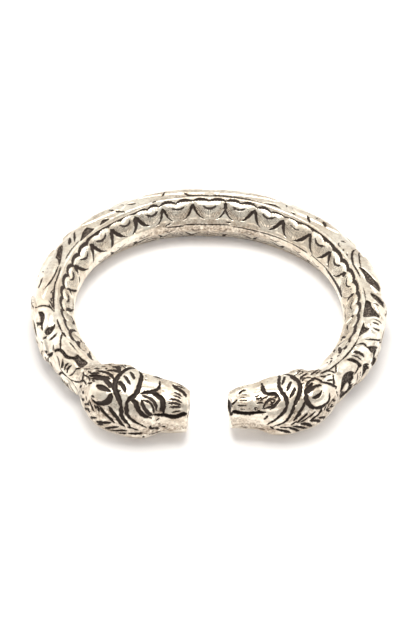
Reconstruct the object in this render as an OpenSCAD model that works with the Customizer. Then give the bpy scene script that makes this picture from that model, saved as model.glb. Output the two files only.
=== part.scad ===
/* [Ring] */
// Radius of the rim line at the two sides of the ring
rim_r = 32.6; // [31.5:0.1:35]
// Height of the ring, from the lower rim to the upper rim
ring_h = 11.7; // [11:0.1:12.6]
// From the rim line out to the widest point of the ring
outer_w = 5.5; // [5:0.1:6]
// From the rim line in to the plain inner band, at the back
inner_w = 3.2; // [2.8:0.1:3.6]
// Height of the plain inner band
band_h = 2; // [1.6:0.1:2.4]

/* [Heads] */
// Gap between the two noses, at the middle of each
gap = 8.2; // [7:0.2:11]
// How much further one head reaches forward than the other, half of it on each side
lead = 0.4; // [0:0.1:0.6]
// Share by which the fuller head is larger than the mean
fuller = 0.065; // [0:0.005:0.08]

/* [Ornament] */
// Angle that one petal takes, with one petal centred at the back
pitch = 13; // [12.6:0.1:13.2]
// Angle from one leaf to the next along the middle of the outer side
sprig_pitch = 18; // [14:1:24]
// Height of the petals over the ground between them
petal_h = 0.4; // [0.2:0.05:0.5]
// Height of the bead that runs along each rim
bead_h = 0.3; // [0.2:0.05:0.4]
// Height of the leaves on the outer side
leaf_h = 0.4; // [0.1:0.05:0.45]
// Depth of the pockets between the leaves
pocket_d = 0.65; // [0.3:0.05:0.7]
// Depth of the grooves cut in the heads
groove_d = 0.55; // [0.3:0.05:0.65]
// Depth of the mouth
mouth_d = 1; // [0.5:0.1:1.2]

/* [Hidden] */

rest = ring_h / 2;
body_h = rest - bead_h;
bead_w = 1.15;         // from the rim line to the edge of its bead
neck = 120;
neck_step = 20;

// Ring sections, one every neck_step degrees from the back:
// inset of the rim line, outer width, inner width and half height, the last three as shares
RING = [
  [1.4, 1.20, 1.03, 1.00],
  [0.8, 1.11, 1.00, 1.00],
  [0.3, 1.05, 1.00, 1.00],
  [0.1, 1.02, 1.00, 1.00],
  [0.0, 1.01, 1.09, 1.00],
  [0.05, 0.90, 1.19, 0.98],
  [0.6, 0.71, 1.25, 0.92]
];

// Head sections: back from the nose, inset from the rim circle, lift,
// outer and inner half width, half height up and down, share of lead and size difference
HEAD = [
  [20.2, 12.1, 0.0, 3.7, 3.7, 5.3, 5.3, 0.0], // collar
  [18.2, 9.6, 0.0, 4.9, 4.6, 6.1, 5.8, 0.5],  // back of the mane
  [15.2, 7.3, 0.1, 6.4, 5.9, 6.2, 5.9, 1.0],  // ears
  [11.8, 5.9, 0.1, 6.2, 5.7, 6.0, 5.9, 1.0],  // crown
  [8.5, 5.3, 0.0, 5.7, 5.2, 5.7, 5.7, 1.0],   // eyes
  [5.5, 5.0, 0.0, 4.8, 4.5, 5.2, 4.6, 1.0],   // cheeks
  [2.5, 4.5, 0.0, 4.2, 4.0, 4.7, 4.4, 1.0],   // whiskers
  [0.3, 3.9, 0.0, 3.5, 3.3, 4.1, 4.1, 1.0]    // nose
];
nose = 9;              // station of the nose: 0 is the back of the ring, 1 the neck, 2 the collar
head_steps = 21;
nose_cap = [[0.2, 0.93], [0.3, 0.8], [0.36, 0.5]]; // forward of the nose row, share of its size
ring_square = 2.4;     // exponents of the rounded sections
head_square = 2.5;

// Columns round the section, in degrees from the upper rim, outwards and then inwards
OUT_COLUMNS = [0, 7, 15, 24, 34, 44, 52, 58, 64, 76, 90, 103, 115, 127, 139, 150, 161, 171, 180];
IN_COLUMNS = [7, 16, 26, 37, 48, 58, 66, 74, 90, 106, 118, 132, 144, 155, 165, 173];
columns = concat(OUT_COLUMNS, [for (i = [len(IN_COLUMNS) - 1:-1:0]) -IN_COLUMNS[i]]);
column_n = len(columns);

// Stations through one petal, as shares of the pitch from the tip between two petals
PETAL_STEPS = [0, 0.1, 0.26, 0.42, 0.58, 0.74, 0.9];

// Leaves and pockets on the upper outer side, mirrored to the lower one:
// angle from the back, distance from the rim line, half length, half width, turn
LEFT_LEAVES = [
  [0, 2.4, 8.0, 1.2, 0],
  [40, 2.9, 5.0, 1.1, -5],
  [82, 2.7, 5.6, 1.2, 5],
  [103, 2.2, 3.0, 0.9, 12],
  [118, 1.3, 3.2, 1.0, 0]
];
RIGHT_LEAVES = [
  [0, 2.4, 8.0, 1.2, 0],
  [42, 2.6, 4.4, 1.1, 8],
  [66, 3.4, 5.0, 1.3, -24],
  [90, 3.4, 3.2, 0.8, 62],
  [101, 3.6, 2.4, 0.9, 66],
  [113, 3.4, 3.6, 1.5, 50]
];
LEFT_POCKETS = [
  [32, 1.9, 2.0, 0.6, 0],
  [45, 0.9, 1.6, 0.7, 0],
  [55, 1.1, 2.6, 0.9, -12],
  [70, 2.2, 3.6, 0.8, -24],
  [101, 4.2, 2.4, 0.8, 14],
  [107, 2.8, 1.4, 0.7, 66],
  [122, 2.9, 3.4, 0.9, -20]
];
RIGHT_POCKETS = [
  [25, 0.9, 2.8, 0.7, 4],
  [35, 0.9, 1.2, 0.7, 0],
  [80, 2.8, 3.8, 0.8, 24],
  [88.5, 4.4, 1.9, 0.7, 84],
  [96, 2.2, 2.6, 1.2, 20],
  [106, 1.9, 2.0, 0.9, -20],
  [109, 5.8, 2.0, 0.9, 70],
  [122, 5.4, 2.6, 1.1, 60]
];
sprig = [2.1, 4.2, 1.0, 26];   // above the middle, half length, half width, turn

// Raised and sunk forms of the head: station, degrees from the top, half size in each, height
HEAD_FORMS = [
  [3.85, 42, 0.72, 23, 0.65],  // ear
  [3.90, 38, 0.40, 8, -0.60],  // hollow of the ear
  [4.90, 0, 0.60, 44, 0.35],   // lock over the crown
  [6.10, 40, 0.80, 17, 0.50],  // eye
  [6.30, 10, 1.00, 8, 0.25],   // brow
  [8.10, 27, 0.95, 24, 0.35],  // whisker pad
  [7.20, 88, 1.90, 22, -0.30], // hollow of the jaw under the mouth
  [5.60, 124, 1.10, 16, 0.30]  // beard
];

// Grooves of the head, each through a few points: station, degrees from the top
FRONT_GROOVE = [[5.1, -32], [5.55, -7], [5.5, 16], [5.2, 34], [5.1, 43], [5.25, 60], [6.0, 84]];
BACK_GROOVE = [[4.65, -28], [4.3, 0], [4.35, 24], [4.7, 42], [5.0, 62], [5.3, 86]];
EAR_GROOVE = [[4.3, 20], [4.5, 42], [4.25, 62], [3.7, 69], [3.2, 62]];
MOUTH = [[6.5, 58], [9, 58]];
station_mm = 3.3;      // mean length of one station on the head
degree_mm = 0.1;       // mean length of one degree round the head

function lerp(a, b, t) = a + (b - a) * t;
function limit(t) = max(0, min(1, t));
function ease(t) = limit(t) * limit(t) * (3 - 2 * limit(t));

// Smooth run through the rows of a table, t counted in rows
function through(rows, t) =
  let (
    n = len(rows),
    i = max(0, min(n - 2, floor(t))),
    f = t - i,
    b = rows[i],
    c = rows[i + 1],
    a = i > 0 ? rows[i - 1] : 2 * b - c,
    d = i < n - 2 ? rows[i + 2] : 2 * c - b
  )
  0.5 * (2 * b + (c - a) * f + (2 * a - 5 * b + 4 * c - d) * f * f + (3 * b - 3 * c + d - a) * f * f * f);

// A section as centre x and y, lift, outer and inner half width, half height up and down
function ring_section(angle) =
  let (r = through(RING, angle / neck_step), radius = rim_r - r[0])
  [radius * sin(angle), radius * cos(angle), 0, outer_w * r[1], inner_w * r[2], body_h * r[3], body_h * r[3]];

function head_section(side, r) =
  let (size = 1 - side * fuller * r[7])
  [
    gap / 2 + r[0],
    -(rim_r - r[1]) + side * lead * r[7],
    r[2],
    r[3] * size,
    r[4] * size,
    r[5] * size,
    min(r[6] * size, rest + r[2])
  ];

function end_rows(side) = concat(
  [ring_section(neck - 7), ring_section(neck)],
  [for (r = HEAD) head_section(side, r)]
);

function section_at(side, rows, t) = t <= 1 ? ring_section(t * neck) : through(rows, t);

// How far the section has turned from the ring's into the head's
function head_share(t) = ease((t - 1.4) / 1.6);

function round_radius(a, b, phi, power) =
  pow(pow(abs(sin(phi)) / a, power) + pow(abs(cos(phi)) / b, power), -1 / power);

function ring_radius(s, phi) =
  let (h = cos(phi) >= 0 ? s[5] : s[6], inward = max(-sin(phi), 0.0001))
  sin(phi) >= 0
    ? round_radius(s[3], h, phi, ring_square)
    : min(s[4] * h / ((h - band_h / 2) * inward + s[4] * abs(cos(phi))), s[4] / inward);

function head_radius(s, phi) =
  round_radius(sin(phi) >= 0 ? s[3] : s[4], cos(phi) >= 0 ? s[5] : s[6], phi, head_square);

function outline(s, share) = [
  for (phi = columns)
    let (r = lerp(ring_radius(s, phi), head_radius(s, phi), share))
    [r * sin(phi), r * cos(phi)]
];

// Distance round the section from the nearer rim line, for each column
function from_rim(points, i) =
  let (k = columns[i] < 0 ? column_n - i : i, last = len(OUT_COLUMNS) - 1)
  columns[i] < 0
    ? min(run(points, i, column_n), run(points, last, i))
    : min(run(points, 0, i), run(points, i, last));
function run(points, from, to) =
  from >= to ? 0 : norm(points[(from + 1) % column_n] - points[from % column_n]) + run(points, from + 1, to);

// Flat-topped oval of height 1, turned in the plane of the surface, 0 outside it
function oval(x, y, half_length, half_width, turn) =
  let (u = x * cos(turn) + y * sin(turn), v = y * cos(turn) - x * sin(turn))
  ease(2.5 * (1 - norm([u / half_length, v / half_width])));

function along_side(angle, b) = angle * (rim_r + min(b, outer_w)) * PI / 180;
function spots(list, angle, b) = max([
  for (r = list) oval(along_side(angle - r[0], b), b - r[1], r[2], r[3], r[4])
]);

// Leaves in pairs along the middle of the outer side, turned up and down in turn
function sprigs(angle, b, middle) =
  let (k = round(angle / sprig_pitch), turn = k % 2 == 0 ? sprig[3] : -sprig[3])
  oval(along_side(angle - k * sprig_pitch, b), b - (middle - sprig[0]), sprig[1], sprig[2], turn);

function foliage(side, angle, b, middle) =
  let (
    pockets = spots(side < 0 ? LEFT_POCKETS : RIGHT_POCKETS, angle, b),
    leaves = spots(side < 0 ? LEFT_LEAVES : RIGHT_LEAVES, angle, b)
  )
  leaf_h * max(leaves, sprigs(angle, b, middle)) * (1 - pockets) - pocket_d * pockets;

// A petal hangs from the rim as a half round, centred between two tips
function petal(angle, b, face) =
  let (
    from_tip = (angle + pitch / 2) / pitch,
    u = (from_tip - floor(from_tip) - 0.5) * 2,
    q = b / face
  )
  q < 0.13 ? 0 : petal_h * ease(2.2 * (1 - norm([u / 0.98, max(0, q - 0.2) / 0.62])));

function ring_relief(side, angle, b, phi, face, middle) =
  bead_h * ease(1 - b / bead_w) + (phi < 0 ? petal(angle, b, face) : foliage(side, angle, b, middle));

function to_line(p, a, b) =
  let (d = b - a, t = limit((p - a) * d / (d * d)))
  norm(p - a - d * t);
function on_head(p) = [p[0] * station_mm, p[1] * degree_mm];
function groove(p, line, width) =
  let (
    q = on_head(p),
    d = min([for (i = [0:len(line) - 2]) to_line(q, on_head(line[i]), on_head(line[i + 1]))])
  )
  ease(1 - d / width);

function head_relief(t, phi) =
  let (
    p = [t, abs(phi)],
    forms = [for (f = HEAD_FORMS) f[4] * ease(1.6 * (1 - norm([(t - f[0]) / f[2], (p[1] - f[1]) / f[3]])))],
    cuts = max(groove(p, FRONT_GROOVE, 0.8), groove(p, BACK_GROOVE, 0.8), groove(p, EAR_GROOVE, 0.8))
  )
  forms * [for (f = forms) 1] - groove_d * cuts - mouth_d * groove(p, MOUTH, 0.7);

// One ring of points: the section's outline, moved out or in along its own normal by the relief
function ring_points(side, rows, t, forward, shrink) =
  let (
    s = section_at(side, rows, t),
    e = 0.02,
    ahead = section_at(side, rows, t + e) - section_at(side, rows, t - e),
    way = [ahead[0], ahead[1]] / norm([ahead[0], ahead[1]]),
    outward = [-way[1], way[0]],
    share = head_share(t),
    flat = outline(s, share),
    face = norm([s[4], s[5] - band_h / 2]),
    middle = run(flat, 0, len(OUT_COLUMNS) - 1) / 2
  )
  [
    for (i = [0:column_n - 1])
      let (
        along = flat[(i + 1) % column_n] - flat[(i + column_n - 1) % column_n],
        normal = [-along[1], along[0]] / norm(along),
        b = from_rim(flat, i),
        high = share >= 1 ? head_relief(t, columns[i])
          : lerp(ring_relief(side, t * neck, b, columns[i], face, middle), head_relief(t, columns[i]), share),
        q = (flat[i] + normal * high) * shrink
      )
      [
        side * (s[0] + q[0] * outward[0] + forward * way[0]),
        s[1] + q[0] * outward[1] + forward * way[1],
        max(s[2] + q[1], -rest) + rest
      ]
  ];

// Stations of one side, from the back of the ring to the nose
ring_angles = [
  for (k = [0:ceil(neck / pitch)], f = PETAL_STEPS)
    let (angle = (k - 0.5 + f) * pitch)
    if (angle > 0.3 && angle < neck - 0.5) angle
];
head_stations = [for (i = [0:head_steps]) lerp(1, nose, i / head_steps)];

function half_ring(side) =
  let (rows = end_rows(side))
  concat(
    [for (a = ring_angles) ring_points(side, rows, a / neck, 0, 1)],
    [for (t = head_stations) ring_points(side, rows, t, 0, 1)],
    [for (c = nose_cap) ring_points(side, rows, nose, c[0], c[1])]
  );

function mid(points) = points * [for (p = points) 1] / len(points);
function centre(ring) = [for (k = [0:2]) mid([for (p = ring) p[k]])];

module bangle() {
  right = half_ring(1);
  left = half_ring(-1);
  rings = concat(
    [for (i = [len(left) - 1:-1:0]) left[i]],
    [ring_points(1, end_rows(1), 0, 0, 1)],
    right
  );
  n = len(rings);
  points = concat([for (r = rings, p = r) p], [centre(rings[0]), centre(rings[n - 1])]);
  first_cap = n * column_n;
  walls = [
    for (i = [0:n - 2], k = [0:column_n - 1])
      let (
        a = i * column_n + k,
        b = i * column_n + (k + 1) % column_n,
        c = b + column_n,
        d = a + column_n
      )
      each (norm(points[a] - points[c]) < norm(points[b] - points[d])
        ? [[a, b, c], [a, c, d]]
        : [[a, b, d], [b, c, d]])
  ];
  caps = [
    for (k = [0:column_n - 1])
      let (next = (k + 1) % column_n)
      each [
        [first_cap, next, k],
        [first_cap + 1, first_cap - column_n + k, first_cap - column_n + next]
      ]
  ];
  color("silver") polyhedron(points, concat(walls, caps), convexity = 10);
}

bangle();
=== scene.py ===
import math

import bpy
import numpy as np
from mathutils import Matrix, Vector


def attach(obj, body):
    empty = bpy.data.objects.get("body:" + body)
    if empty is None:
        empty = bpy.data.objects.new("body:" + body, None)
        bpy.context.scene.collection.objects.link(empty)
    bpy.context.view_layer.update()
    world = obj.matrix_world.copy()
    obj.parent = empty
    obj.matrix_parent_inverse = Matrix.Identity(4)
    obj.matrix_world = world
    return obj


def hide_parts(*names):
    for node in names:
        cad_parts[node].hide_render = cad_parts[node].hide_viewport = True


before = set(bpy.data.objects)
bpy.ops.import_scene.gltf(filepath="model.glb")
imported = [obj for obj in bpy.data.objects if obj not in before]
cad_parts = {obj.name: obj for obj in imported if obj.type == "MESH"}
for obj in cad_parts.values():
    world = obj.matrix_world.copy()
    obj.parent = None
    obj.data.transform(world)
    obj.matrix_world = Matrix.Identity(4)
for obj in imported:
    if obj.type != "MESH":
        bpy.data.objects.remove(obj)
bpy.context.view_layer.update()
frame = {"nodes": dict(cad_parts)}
print("frame loaded, nodes:", ", ".join(frame["nodes"]))

# All sizes are in millimetres and degrees until the meshes are made.
# The ring lies on z = 0, its back towards +y and its two heads facing across the gap at -y.
ring = {
    "rimRadius": 32.6,
    "height": 11.7,
    "outerWidth": 5.5,
    "innerWidth": 3.2,
    "bandHeight": 2.0,
    "bead": 0.3,
    "neck": 120,            # where the heads take over, counted from the back
    "tangent": 7,           # the last degrees give the curve into a head its direction
    "pastNeck": 0.57,       # millimetres to a degree where the count goes on past the neck
    "backEnd": 48,          # where the back piece ends
    "step": 20,             # degrees from one section to the next
    # inset of the rim line, then outer width, inner width and half height as shares
    "sections": [
        (1.4, 1.20, 1.03, 1.00),
        (0.8, 1.11, 1.00, 1.00),
        (0.3, 1.05, 1.00, 1.00),
        (0.1, 1.02, 1.00, 1.00),
        (0.0, 1.01, 1.09, 1.00),
        (0.05, 0.90, 1.19, 0.98),
        (0.6, 0.71, 1.25, 0.92),
    ],
    "squareness": 2.4,
}

head = {
    "gap": 8.2,
    "lead": 0.4,            # how much further one head reaches forward
    "fuller": 0.065,        # the left head is larger than the mean by this share
    # back from the nose, inset from the rim circle, lift, half widths out and in,
    # half heights up and down, share of lead and size difference
    "sections": [
        (20.2, 12.1, 0.0, 3.7, 3.7, 5.3, 5.3, 0.0),
        (18.2, 9.6, 0.0, 4.9, 4.6, 6.1, 5.8, 0.5),
        (15.2, 7.3, 0.1, 6.4, 5.9, 6.2, 5.9, 1.0),
        (11.8, 5.9, 0.1, 6.2, 5.7, 6.0, 5.9, 1.0),
        (8.5, 5.3, 0.0, 5.7, 5.2, 5.7, 5.7, 1.0),
        (5.5, 5.0, 0.0, 4.8, 4.5, 5.2, 4.6, 1.0),
        (2.5, 4.5, 0.0, 4.2, 4.0, 4.7, 4.4, 1.0),
        (0.3, 3.9, 0.0, 3.5, 3.3, 4.1, 4.1, 1.0),
    ],
    "squareness": 2.5,
    "blend": (1.4, 1.6),    # from which station the ring's form turns into the head's, over how many
    "start": 1.9,           # station where the head pieces begin
    "nose": 9,
    # how far the left and right noses are turned square to the gap, from which station, over how many
    "upright": (0.6, 0.4),
    "uprightFrom": (6.5, 2.5),
    "noseCap": 0.3,
    "noseShape": (0.9, 0.7),        # powers for the size and the place of the nose's rings
    "degree": 0.1,          # ten degrees round the head count as a millimetre
    "bolder": 1.35,         # width of the strokes against the measured ones
    "overBolder": 1.17,     # and of those that cross the crown
    "depth": (0.1, 0.4),    # least depth of a stroke, and what a millimetre of width adds
    "whiskers": {"depth": 0.16, "taper": (0.2, 0.2)},
    "fine": {"depth": 0.22, "taper": (0.2, 0.2), "dark": 0.95},
    "mane": {"width": 0.42, "depth": 0.2, "taper": (0.3, 0.3), "dark": 0.85},
    "mouth": {"depth": 0.75, "taper": (0.1, 0.2)},
    "pit": {"depth": 0.5, "wall": 0.25, "grow": 0.06},
    "far": 0.3,             # the forms are lower on the cheeks inside the ring
    "farBlend": 25,         # and become so over this many degrees on either side of the top
    "cheekDrop": 15,        # there the features sit lower by these degrees, out of sight
    "formEdge": 1.6,        # how quickly a soft form rises
    "trim": (-43, 34),      # where the outline's corrections lie round the head, and how wide they are
    # soft raised and sunk forms: station, degrees from the top, half size in each, height
    "forms": [
        (3.85, 42, 0.72, 23, 0.65),     # ear
        (4.90, 0, 0.60, 44, 0.35),      # leaf over the crown
        (6.10, 40, 0.80, 17, 0.45),     # eye
        (6.30, 10, 1.00, 8, 0.20),      # brow
        (8.10, 27, 0.95, 24, 0.30),     # whisker pad
        (7.20, 88, 1.90, 22, -0.30),    # hollow of the jaw
        (5.60, 124, 1.10, 16, 0.30),    # beard
    ],
}

# How many points the meshes get, round the section and along each piece; how many trace one half
# of a section, and how many steps a curve takes from one given point to the next
fineness = {
    "outer": 148, "inner": 108,
    "back": 170, "side": 340, "head": 300, "nose": 40,
    "trace": 900, "curve": 6,
}
columns = fineness["outer"] + fineness["inner"]
bodyHeight = ring["height"] / 2 - ring["bead"]
rest = ring["height"] / 2


def lerp(a, b, t):
    return a + (b - a) * t


def ease(t):
    t = np.clip(t, 0, 1)
    return t * t * (3 - 2 * t)


# A smooth run through the rows of a table, t counted in rows
def through(rows, t):
    rows = np.asarray(rows, float)
    t = np.atleast_1d(np.asarray(t, float))
    ends = np.vstack([2 * rows[0] - rows[1], rows, 2 * rows[-1] - rows[-2]])
    i = np.clip(np.floor(t).astype(int), 0, len(rows) - 2)
    f = (t - i)[:, None]
    a, b, c, d = ends[i], ends[i + 1], ends[i + 2], ends[i + 3]
    square, cube = 2 * a - 5 * b + 4 * c - d, 3 * b - 3 * c + d - a
    return 0.5 * (2 * b + (c - a) * f + square * f ** 2 + cube * f ** 3)


# Sections as centre x and y, lift, half widths out and in, half heights up and down
def ringSections(angle):
    row = through(ring["sections"], np.asarray(angle) / ring["step"])
    radius = ring["rimRadius"] - row[:, 0]
    turn = np.radians(np.atleast_1d(angle))
    return np.stack([
        radius * np.sin(turn), radius * np.cos(turn), 0 * turn,
        ring["outerWidth"] * row[:, 1], ring["innerWidth"] * row[:, 2],
        bodyHeight * row[:, 3], bodyHeight * row[:, 3]], axis=1)


def headSections(side):
    row = np.array(head["sections"])
    size = 1 - side * head["fuller"] * row[:, 7]
    down = np.minimum(row[:, 6] * size, rest + row[:, 2])
    return np.stack([
        head["gap"] / 2 + row[:, 0],
        -(ring["rimRadius"] - row[:, 1]) + side * head["lead"] * row[:, 7],
        row[:, 2], row[:, 3] * size, row[:, 4] * size, row[:, 5] * size, down], axis=1)


# Stations run from 0 at the back of the ring over 1 at the neck to 9 at the nose
def sectionsAt(side, station):
    neck = ring["neck"]
    ends = np.vstack([ringSections([neck - ring["tangent"], neck]), headSections(side)])
    onRing = ringSections(np.minimum(station, 1) * neck)
    onHead = through(ends, np.maximum(station, 1))
    return np.where((station <= 1)[:, None], onRing, onHead)


def roundRadius(a, b, phi, power):
    return (np.abs(np.sin(phi) / a) ** power + np.abs(np.cos(phi) / b) ** power) ** (-1 / power)


# Distance from the section's centre to its skin; phi runs from the upper rim outwards
def skinRadius(section, share, phi):
    outer, inner, up, down = (section[:, k, None] for k in (3, 4, 5, 6))
    outside = np.sin(phi) >= 0
    tall = np.where(np.cos(phi) >= 0, up, down)
    inward = np.maximum(-np.sin(phi), 1e-9)
    face = inner * tall / ((tall - ring["bandHeight"] / 2) * inward + inner * np.abs(np.cos(phi)))
    flat = np.minimum(face, inner / inward)
    onRing = np.where(outside, roundRadius(outer, tall, phi, ring["squareness"]), flat)
    onHead = roundRadius(np.where(outside, outer, inner), tall, phi, head["squareness"])
    return lerp(onRing, onHead, share[:, None])


def alongRun(p, q):
    step = np.hypot(np.diff(p, axis=1), np.diff(q, axis=1))
    return np.concatenate([np.zeros((len(p), 1)), np.cumsum(step, axis=1)], axis=1)


# Points at even spacing along one side of every section
def evenly(p, q, phi, count):
    run = alongRun(p, q)
    wanted = np.linspace(0, 1, count, endpoint=False)[None, :] * run[:, -1:]
    pick = [np.empty((len(p), count)) for _ in range(3)]
    for i in range(len(p)):
        for out, values in zip(pick, (p[i], q[i], phi)):
            out[i] = np.interp(wanted[i], run[i], values)
    return pick[0], pick[1], pick[2], wanted, run[:, -1]


# One step of smoothing round the section
def smoothRound(values):
    return 0.25 * np.roll(values, 1, 1) + 0.5 * values + 0.25 * np.roll(values, -1, 1)


def toColumns(values):
    return np.repeat(values[:, None], columns, 1)


# One side of the bangle as a grid, with the place of every point in the ornament's own measures
def sideGrid(side, station):
    section = sectionsAt(side, station)
    nudge = 0.01
    ahead = (sectionsAt(side, station + nudge) - sectionsAt(side, station - nudge))[:, :2]
    way = ahead / np.linalg.norm(ahead, axis=1)[:, None]
    blendFrom, blendOver = head["blend"]
    share = ease((station - blendFrom) / blendOver)
    half = np.linspace(0, np.pi, fineness["trace"])
    traced = []
    for sign, count in ((1, fineness["outer"]), (-1, fineness["inner"])):
        phi = sign * half
        radius = skinRadius(section, share, phi[None, :])
        p, q = radius * np.sin(phi), radius * np.cos(phi)
        if sign < 0:        # the inner side runs back up, from the lower rim to the upper one
            p, q, phi = p[:, ::-1], q[:, ::-1], phi[::-1]
        traced.append(evenly(p, q, phi, count))
    p, q, phi = (np.concatenate([traced[0][k], traced[1][k]], axis=1) for k in range(3))
    for _ in range(3):      # takes the sharpness off the rims and the band's corners
        p, q = smoothRound(p), smoothRound(q)
    (outerRun, outerLength), (innerRun, innerLength) = traced[0][3:], traced[1][3:]
    outer = np.repeat((np.arange(columns) < fineness["outer"])[None, :], len(station), 0)
    length = np.where(outer, outerLength[:, None], innerLength[:, None])
    fromUpper = np.concatenate([outerRun, innerLength[:, None] - innerRun], axis=1)
    centre = section[:, :2]
    path = np.concatenate([[0], np.cumsum(np.linalg.norm(np.diff(centre, axis=0), axis=1))])
    back = path[-1] - path
    pastNeck = (np.interp(1, station, back) - back) / ring["pastNeck"]
    angle = np.where(station <= 1, station * ring["neck"], ring["neck"] + pastNeck)
    # the last sections are turned to stand square to the gap
    turnFrom, turnOver = head["uprightFrom"]
    upright = head["upright"][0 if side < 0 else 1] * ease((station - turnFrom) / turnOver)
    face = np.hypot(section[:, 4], section[:, 5] - ring["bandHeight"] / 2)
    return {
        "section": section, "way": way, "share": share, "station": station,
        "p": p, "q": q, "phi": np.degrees(phi),
        "moved": p * way[:, 1, None] * upright[:, None],
        "rim": np.minimum(fromUpper, length - fromUpper),       # distance from the nearer rim
        "length": length, "lower": fromUpper > length / 2, "outer": outer,
        "angle": toColumns(angle), "back": toColumns(back), "face": toColumns(face),
    }


# A few points turned into a smooth line with close points
def curved(points, closed=False):
    points = np.asarray(points, float)
    steps = fineness["curve"]
    if closed:
        looped = np.vstack([points[-1:], points, points[:2]])
        return through(looped, np.linspace(1, len(points) + 1, len(points) * steps + 1)[:-1])
    if len(points) == 2:
        return lerp(points[:1], points[1:], np.linspace(0, 1, steps + 1)[:, None])
    return through(points, np.linspace(0, len(points) - 1, (len(points) - 1) * steps + 1))


# How far along the span from a to b each point lies, as a share, and how far from the span
def fromSpan(u, v, a, b):
    d = b - a
    t = np.clip(((u - a[0]) * d[0] + (v - a[1]) * d[1]) / max(d @ d, 1e-9), 0, 1)
    return t, np.hypot(u - a[0] - t * d[0], v - a[1] - t * d[1])


# One in the middle of a line, nothing at its edges and less than nothing beyond them
def nearLine(u, v, line, halfWidths):
    best = np.full(u.shape, -1.0)
    for a, b, start, end in zip(line[:-1], line[1:], halfWidths[:-1], halfWidths[1:]):
        t, gone = fromSpan(u, v, a, b)
        best = np.maximum(best, 1 - gone / lerp(start, end, t))
    return best


# Distance inside a closed line, negative outside it
def insideShape(u, v, line):
    inside = np.zeros(u.shape, bool)
    nearest = np.full(u.shape, 1e9)
    for a, b in zip(line, np.roll(line, -1, 0)):
        nearest = np.minimum(nearest, fromSpan(u, v, a, b)[1])
        crosses = (a[1] > v) != (b[1] > v)
        with np.errstate(divide="ignore", invalid="ignore"):
            inside ^= crosses & (u < a[0] + (v - a[1]) * (b[0] - a[0]) / (b[1] - a[1]))
    return np.where(inside, nearest, -nearest)


def pair(value):
    return value if isinstance(value, tuple) else (value, value)


# Points of a table in millimetres
def scaled(points, first, second=1):
    return [(a * first, b * second) for a, b in points]


def keepHighest(layer, found, values):
    layer[found] = np.maximum(layer[found], values)


# How the cuts take shape
carving = {
    "blunt": 0.12,          # the ends of a groove keep this share of its form
    "thinnest": 0.06,       # least half width of a groove
    "loose": 0.045,         # how far a hand-cut edge wanders
    "looseWidth": 0.6,      # narrower grooves wander less
    "waves": (6.3, 3.1, 7.1, 4.3),  # how quickly it wanders
    "steep": 1.5,           # how quickly a groove reaches its depth
    "darkSteep": 2.4,
    "darkEdge": 0.42,       # the dark starts a little outside the groove
    "darkWall": 0.55,       # and is full at this share of a pocket's wall
}


# A sheet holds one side's relief: how high it is raised, how deep it is cut,
# how dark it has stayed and where it is brown, with patina in some places and painted shade in others
class Sheet:
    def __init__(self, grid):
        self.grid = grid
        self.raised, self.cut, self.dark, self.brown = (np.zeros(grid["phi"].shape) for _ in range(4))
        self.bead = self.soft = 0

    # Points of the sheet near a line
    def near(self, u, v, where, line, margin):
        low, high = line.min(0) - margin, line.max(0) + margin
        rows = np.nonzero((u.max(1) >= low[0]) & (u.min(1) <= high[0]))[0]
        first, last = (rows[0], rows[-1] + 1) if len(rows) else (0, 0)
        a, b = u[first:last], v[first:last]
        hit = where[first:last] & (a >= low[0]) & (a <= high[0]) & (b >= low[1]) & (b <= high[1])
        i, k = np.nonzero(hit)
        return i + first, k

    # A groove that tapers at its ends; its width may change from the start to the end
    def line(self, u, v, where, points, width, depth, taper=(0.25, 0.25), dark=1.0):
        path = curved(points)
        share = np.linspace(0, 1, len(path))
        start, end = pair(width)
        widest = max(start, end)
        blunt = carving["blunt"]
        ends = np.clip(share / taper[0], blunt, 1) * np.clip((1 - share) / taper[1], blunt, 1)
        halfWidths = np.maximum(lerp(start, end, share) / 2 * np.sqrt(ends), carving["thinnest"])
        found = self.near(u, v, where, path, widest)
        a, b = u[found], v[found]
        # no hand-cut edge is quite even
        loose = carving["loose"] * min(1, widest / carving["looseWidth"])
        w = carving["waves"]
        a, b = a + loose * np.sin(w[0] * b - w[1] * a), b + loose * np.sin(w[2] * a + w[3] * b)
        profile = nearLine(a, b, path, halfWidths)
        keepHighest(self.cut, found, depth * ease(carving["steep"] * profile))
        keepHighest(self.dark, found, dark * ease(carving["darkSteep"] * profile + carving["darkEdge"]))

    # Many grooves, from rows of start width, end width and points
    def lines(self, u, v, where, strokes, unit, bolder, depth, **look):
        first, second = pair(bolder)
        for start, end, points in strokes:
            self.line(u, v, where, scaled(points, *unit), (start * first, end * second), depth, **look)

    # A sunk pocket with a flat floor and steep walls
    def pocket(self, u, v, where, points, depth, wall=0.3, grow=0.22):
        path = curved(points, closed=True)
        found = self.near(u, v, where, path, grow + 0.1)
        gone = insideShape(u[found], v[found], path) + grow
        keepHighest(self.cut, found, depth * ease(gone / wall))
        keepHighest(self.dark, found, ease(gone / (carving["darkWall"] * wall)))

    # A brown patch: patina that has stayed thin and brown in some places, painted shade in others
    def patch(self, u, v, where, points, strength, edge=0.7):
        path = curved(points, closed=True)
        found = self.near(u, v, where, path, edge)
        gone = insideShape(u[found], v[found], path) + edge / 2
        keepHighest(self.brown, found, strength * ease(gone / edge))

    # A raised form with a rounded edge
    def swelling(self, u, v, where, points, height, edge):
        path = curved(points, closed=True)
        found = self.near(u, v, where, path, 0.2)
        gone = insideShape(u[found], v[found], path)
        keepHighest(self.raised, found, height * np.sqrt(1 - (1 - np.clip(gone / edge, 0, 1)) ** 2))


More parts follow.
